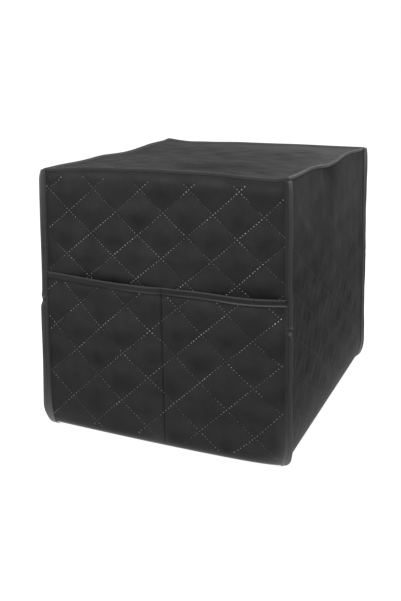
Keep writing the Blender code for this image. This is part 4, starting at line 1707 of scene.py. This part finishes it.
def lay_floor(stage):
    """Lay a large pale floor that glows a little, just under the hem."""
    size, gap = 14.0, 0.0006
    corners = [(-size, -size), (size, -size), (size, size), (-size, size)]
    mesh = bpy.data.meshes.new("floor")
    mesh.from_pydata([(x, y, HEM_Z - gap) for x, y in corners], [], [(0, 1, 2, 3)])
    material, n = new_material("pale_floor")
    tone = n.spread(n.noise(n.place(), scale=2.0, detail=3.0), 0.21, 0.01)
    n.shade(
        Base_Color=n.dyed((1.0, 1.0, 1.0), tone), Roughness=0.9, Specular_IOR_Level=0.0,
        Emission_Color=(1, 1, 1, 1), Emission_Strength=stage.floor_glow,
    )
    mesh.materials.append(material)
    link("floor", mesh)


def hang_lights(stage):
    """Light the room evenly, with one soft light above the front and one overhead."""
    world = bpy.data.worlds.new("even_room")
    world.use_nodes = True
    room = world.node_tree.nodes["Background"]
    room.inputs["Color"].default_value = (1.0, 1.0, 1.0, 1)
    room.inputs["Strength"].default_value = stage.room_light
    bpy.context.scene.world = world
    add_light("key_light", turn=38, rise=62, distance=1.5, size=0.9, power=stage.key_power)
    add_light("top_light", turn=30, rise=80, distance=1.15, size=1.0, power=stage.top_power)


def add_light(name, turn, rise, distance, size, power):
    """Hang a square soft light that faces the cover's lower half and stays out of sight."""
    light = bpy.data.lights.new(name, "AREA")
    light.size = size
    light.energy = power
    lamp = link(name, light)
    aim, back = Vector((0, 0, HEM_Z + 0.2)), facing(turn, rise)
    lamp.location = aim + back * distance
    lamp.rotation_euler = back.to_track_quat("Z", "Y").to_euler()
    lamp.visible_camera = False


def facing(turn, rise):
    """Return the direction from the cover to someone at a turn to the right and a rise."""
    a, e = radians(turn), radians(rise)
    return Vector((sin(a) * cos(e), -cos(a) * cos(e), sin(e)))


# The camera: its turn to the right, rise and roll in degrees, how far it stands off, and how
# far its aim lies to the right of and above the cover's middle, in metres.
CAMERA_TURN, CAMERA_RISE, CAMERA_ROLL = 27.11, 19.45, -2.04
CAMERA_DISTANCE, AIM_RIGHT, AIM_UP, AIM_HEIGHT = 0.9979, -0.0211, -0.0307, 0.184


def place_camera(stage):
    """Set up the camera, a little above the cover and to the right of its front."""
    back = facing(CAMERA_TURN, CAMERA_RISE)
    level = Vector((cos(radians(CAMERA_TURN)), sin(radians(CAMERA_TURN)), 0))
    upright = back.cross(level)
    roll = radians(CAMERA_ROLL)
    right = level * cos(roll) + upright * sin(roll)
    up = upright * cos(roll) - level * sin(roll)
    place = Vector((0, 0, HEM_Z + AIM_HEIGHT)) + level * AIM_RIGHT + upright * AIM_UP
    place = place + back * CAMERA_DISTANCE
    camera_data = bpy.data.cameras.new("camera")
    camera_data.lens = stage.lens
    camera = link("camera", camera_data)
    turn = Matrix((right, up, back)).transposed().to_4x4()
    camera.matrix_world = Matrix.Translation(place) @ turn
    bpy.context.scene.camera = camera


class COVER_PT_panel(bpy.types.Panel):
    """Lists the steps that make the cover"""

    bl_idname = "COVER_PT_panel"
    bl_label = "Coffee Machine Cover"
    bl_space_type = "VIEW_3D"
    bl_region_type = "UI"
    bl_category = "Cover"

    def draw(self, context):
        for settings in (
            context.scene.cover_cloth, context.scene.cover_stitch, context.scene.cover_stage
        ):
            box = self.layout.box()
            for key in settings.__annotations__:
                box.prop(settings, key)
        for step in STEPS:
            self.layout.operator(step.bl_idname)


STEPS = (
    COVER_OT_top_panel, COVER_OT_side_panels, COVER_OT_pocket_panel, COVER_OT_tapes,
    COVER_OT_quilting, COVER_OT_stage,
)
SETTINGS = (CoverClothSettings, CoverStitchSettings, CoverStageSettings)


def register():
    for cls in SETTINGS + STEPS + (COVER_PT_panel,):
        bpy.utils.register_class(cls)
    bpy.types.Scene.cover_cloth = bpy.props.PointerProperty(type=CoverClothSettings)
    bpy.types.Scene.cover_stitch = bpy.props.PointerProperty(type=CoverStitchSettings)
    bpy.types.Scene.cover_stage = bpy.props.PointerProperty(type=CoverStageSettings)


def unregister():
    del bpy.types.Scene.cover_stage
    del bpy.types.Scene.cover_stitch
    del bpy.types.Scene.cover_cloth
    for cls in reversed(SETTINGS + STEPS + (COVER_PT_panel,)):
        bpy.utils.unregister_class(cls)


def main():
    """Make the cover piece by piece."""
    register()
    bpy.ops.cover.top_panel()
    bpy.ops.cover.side_panels()
    bpy.ops.cover.pocket_panel()
    bpy.ops.cover.tapes()
    bpy.ops.cover.quilting()
    bpy.ops.cover.stage()


if __name__ == "__main__":
    main()
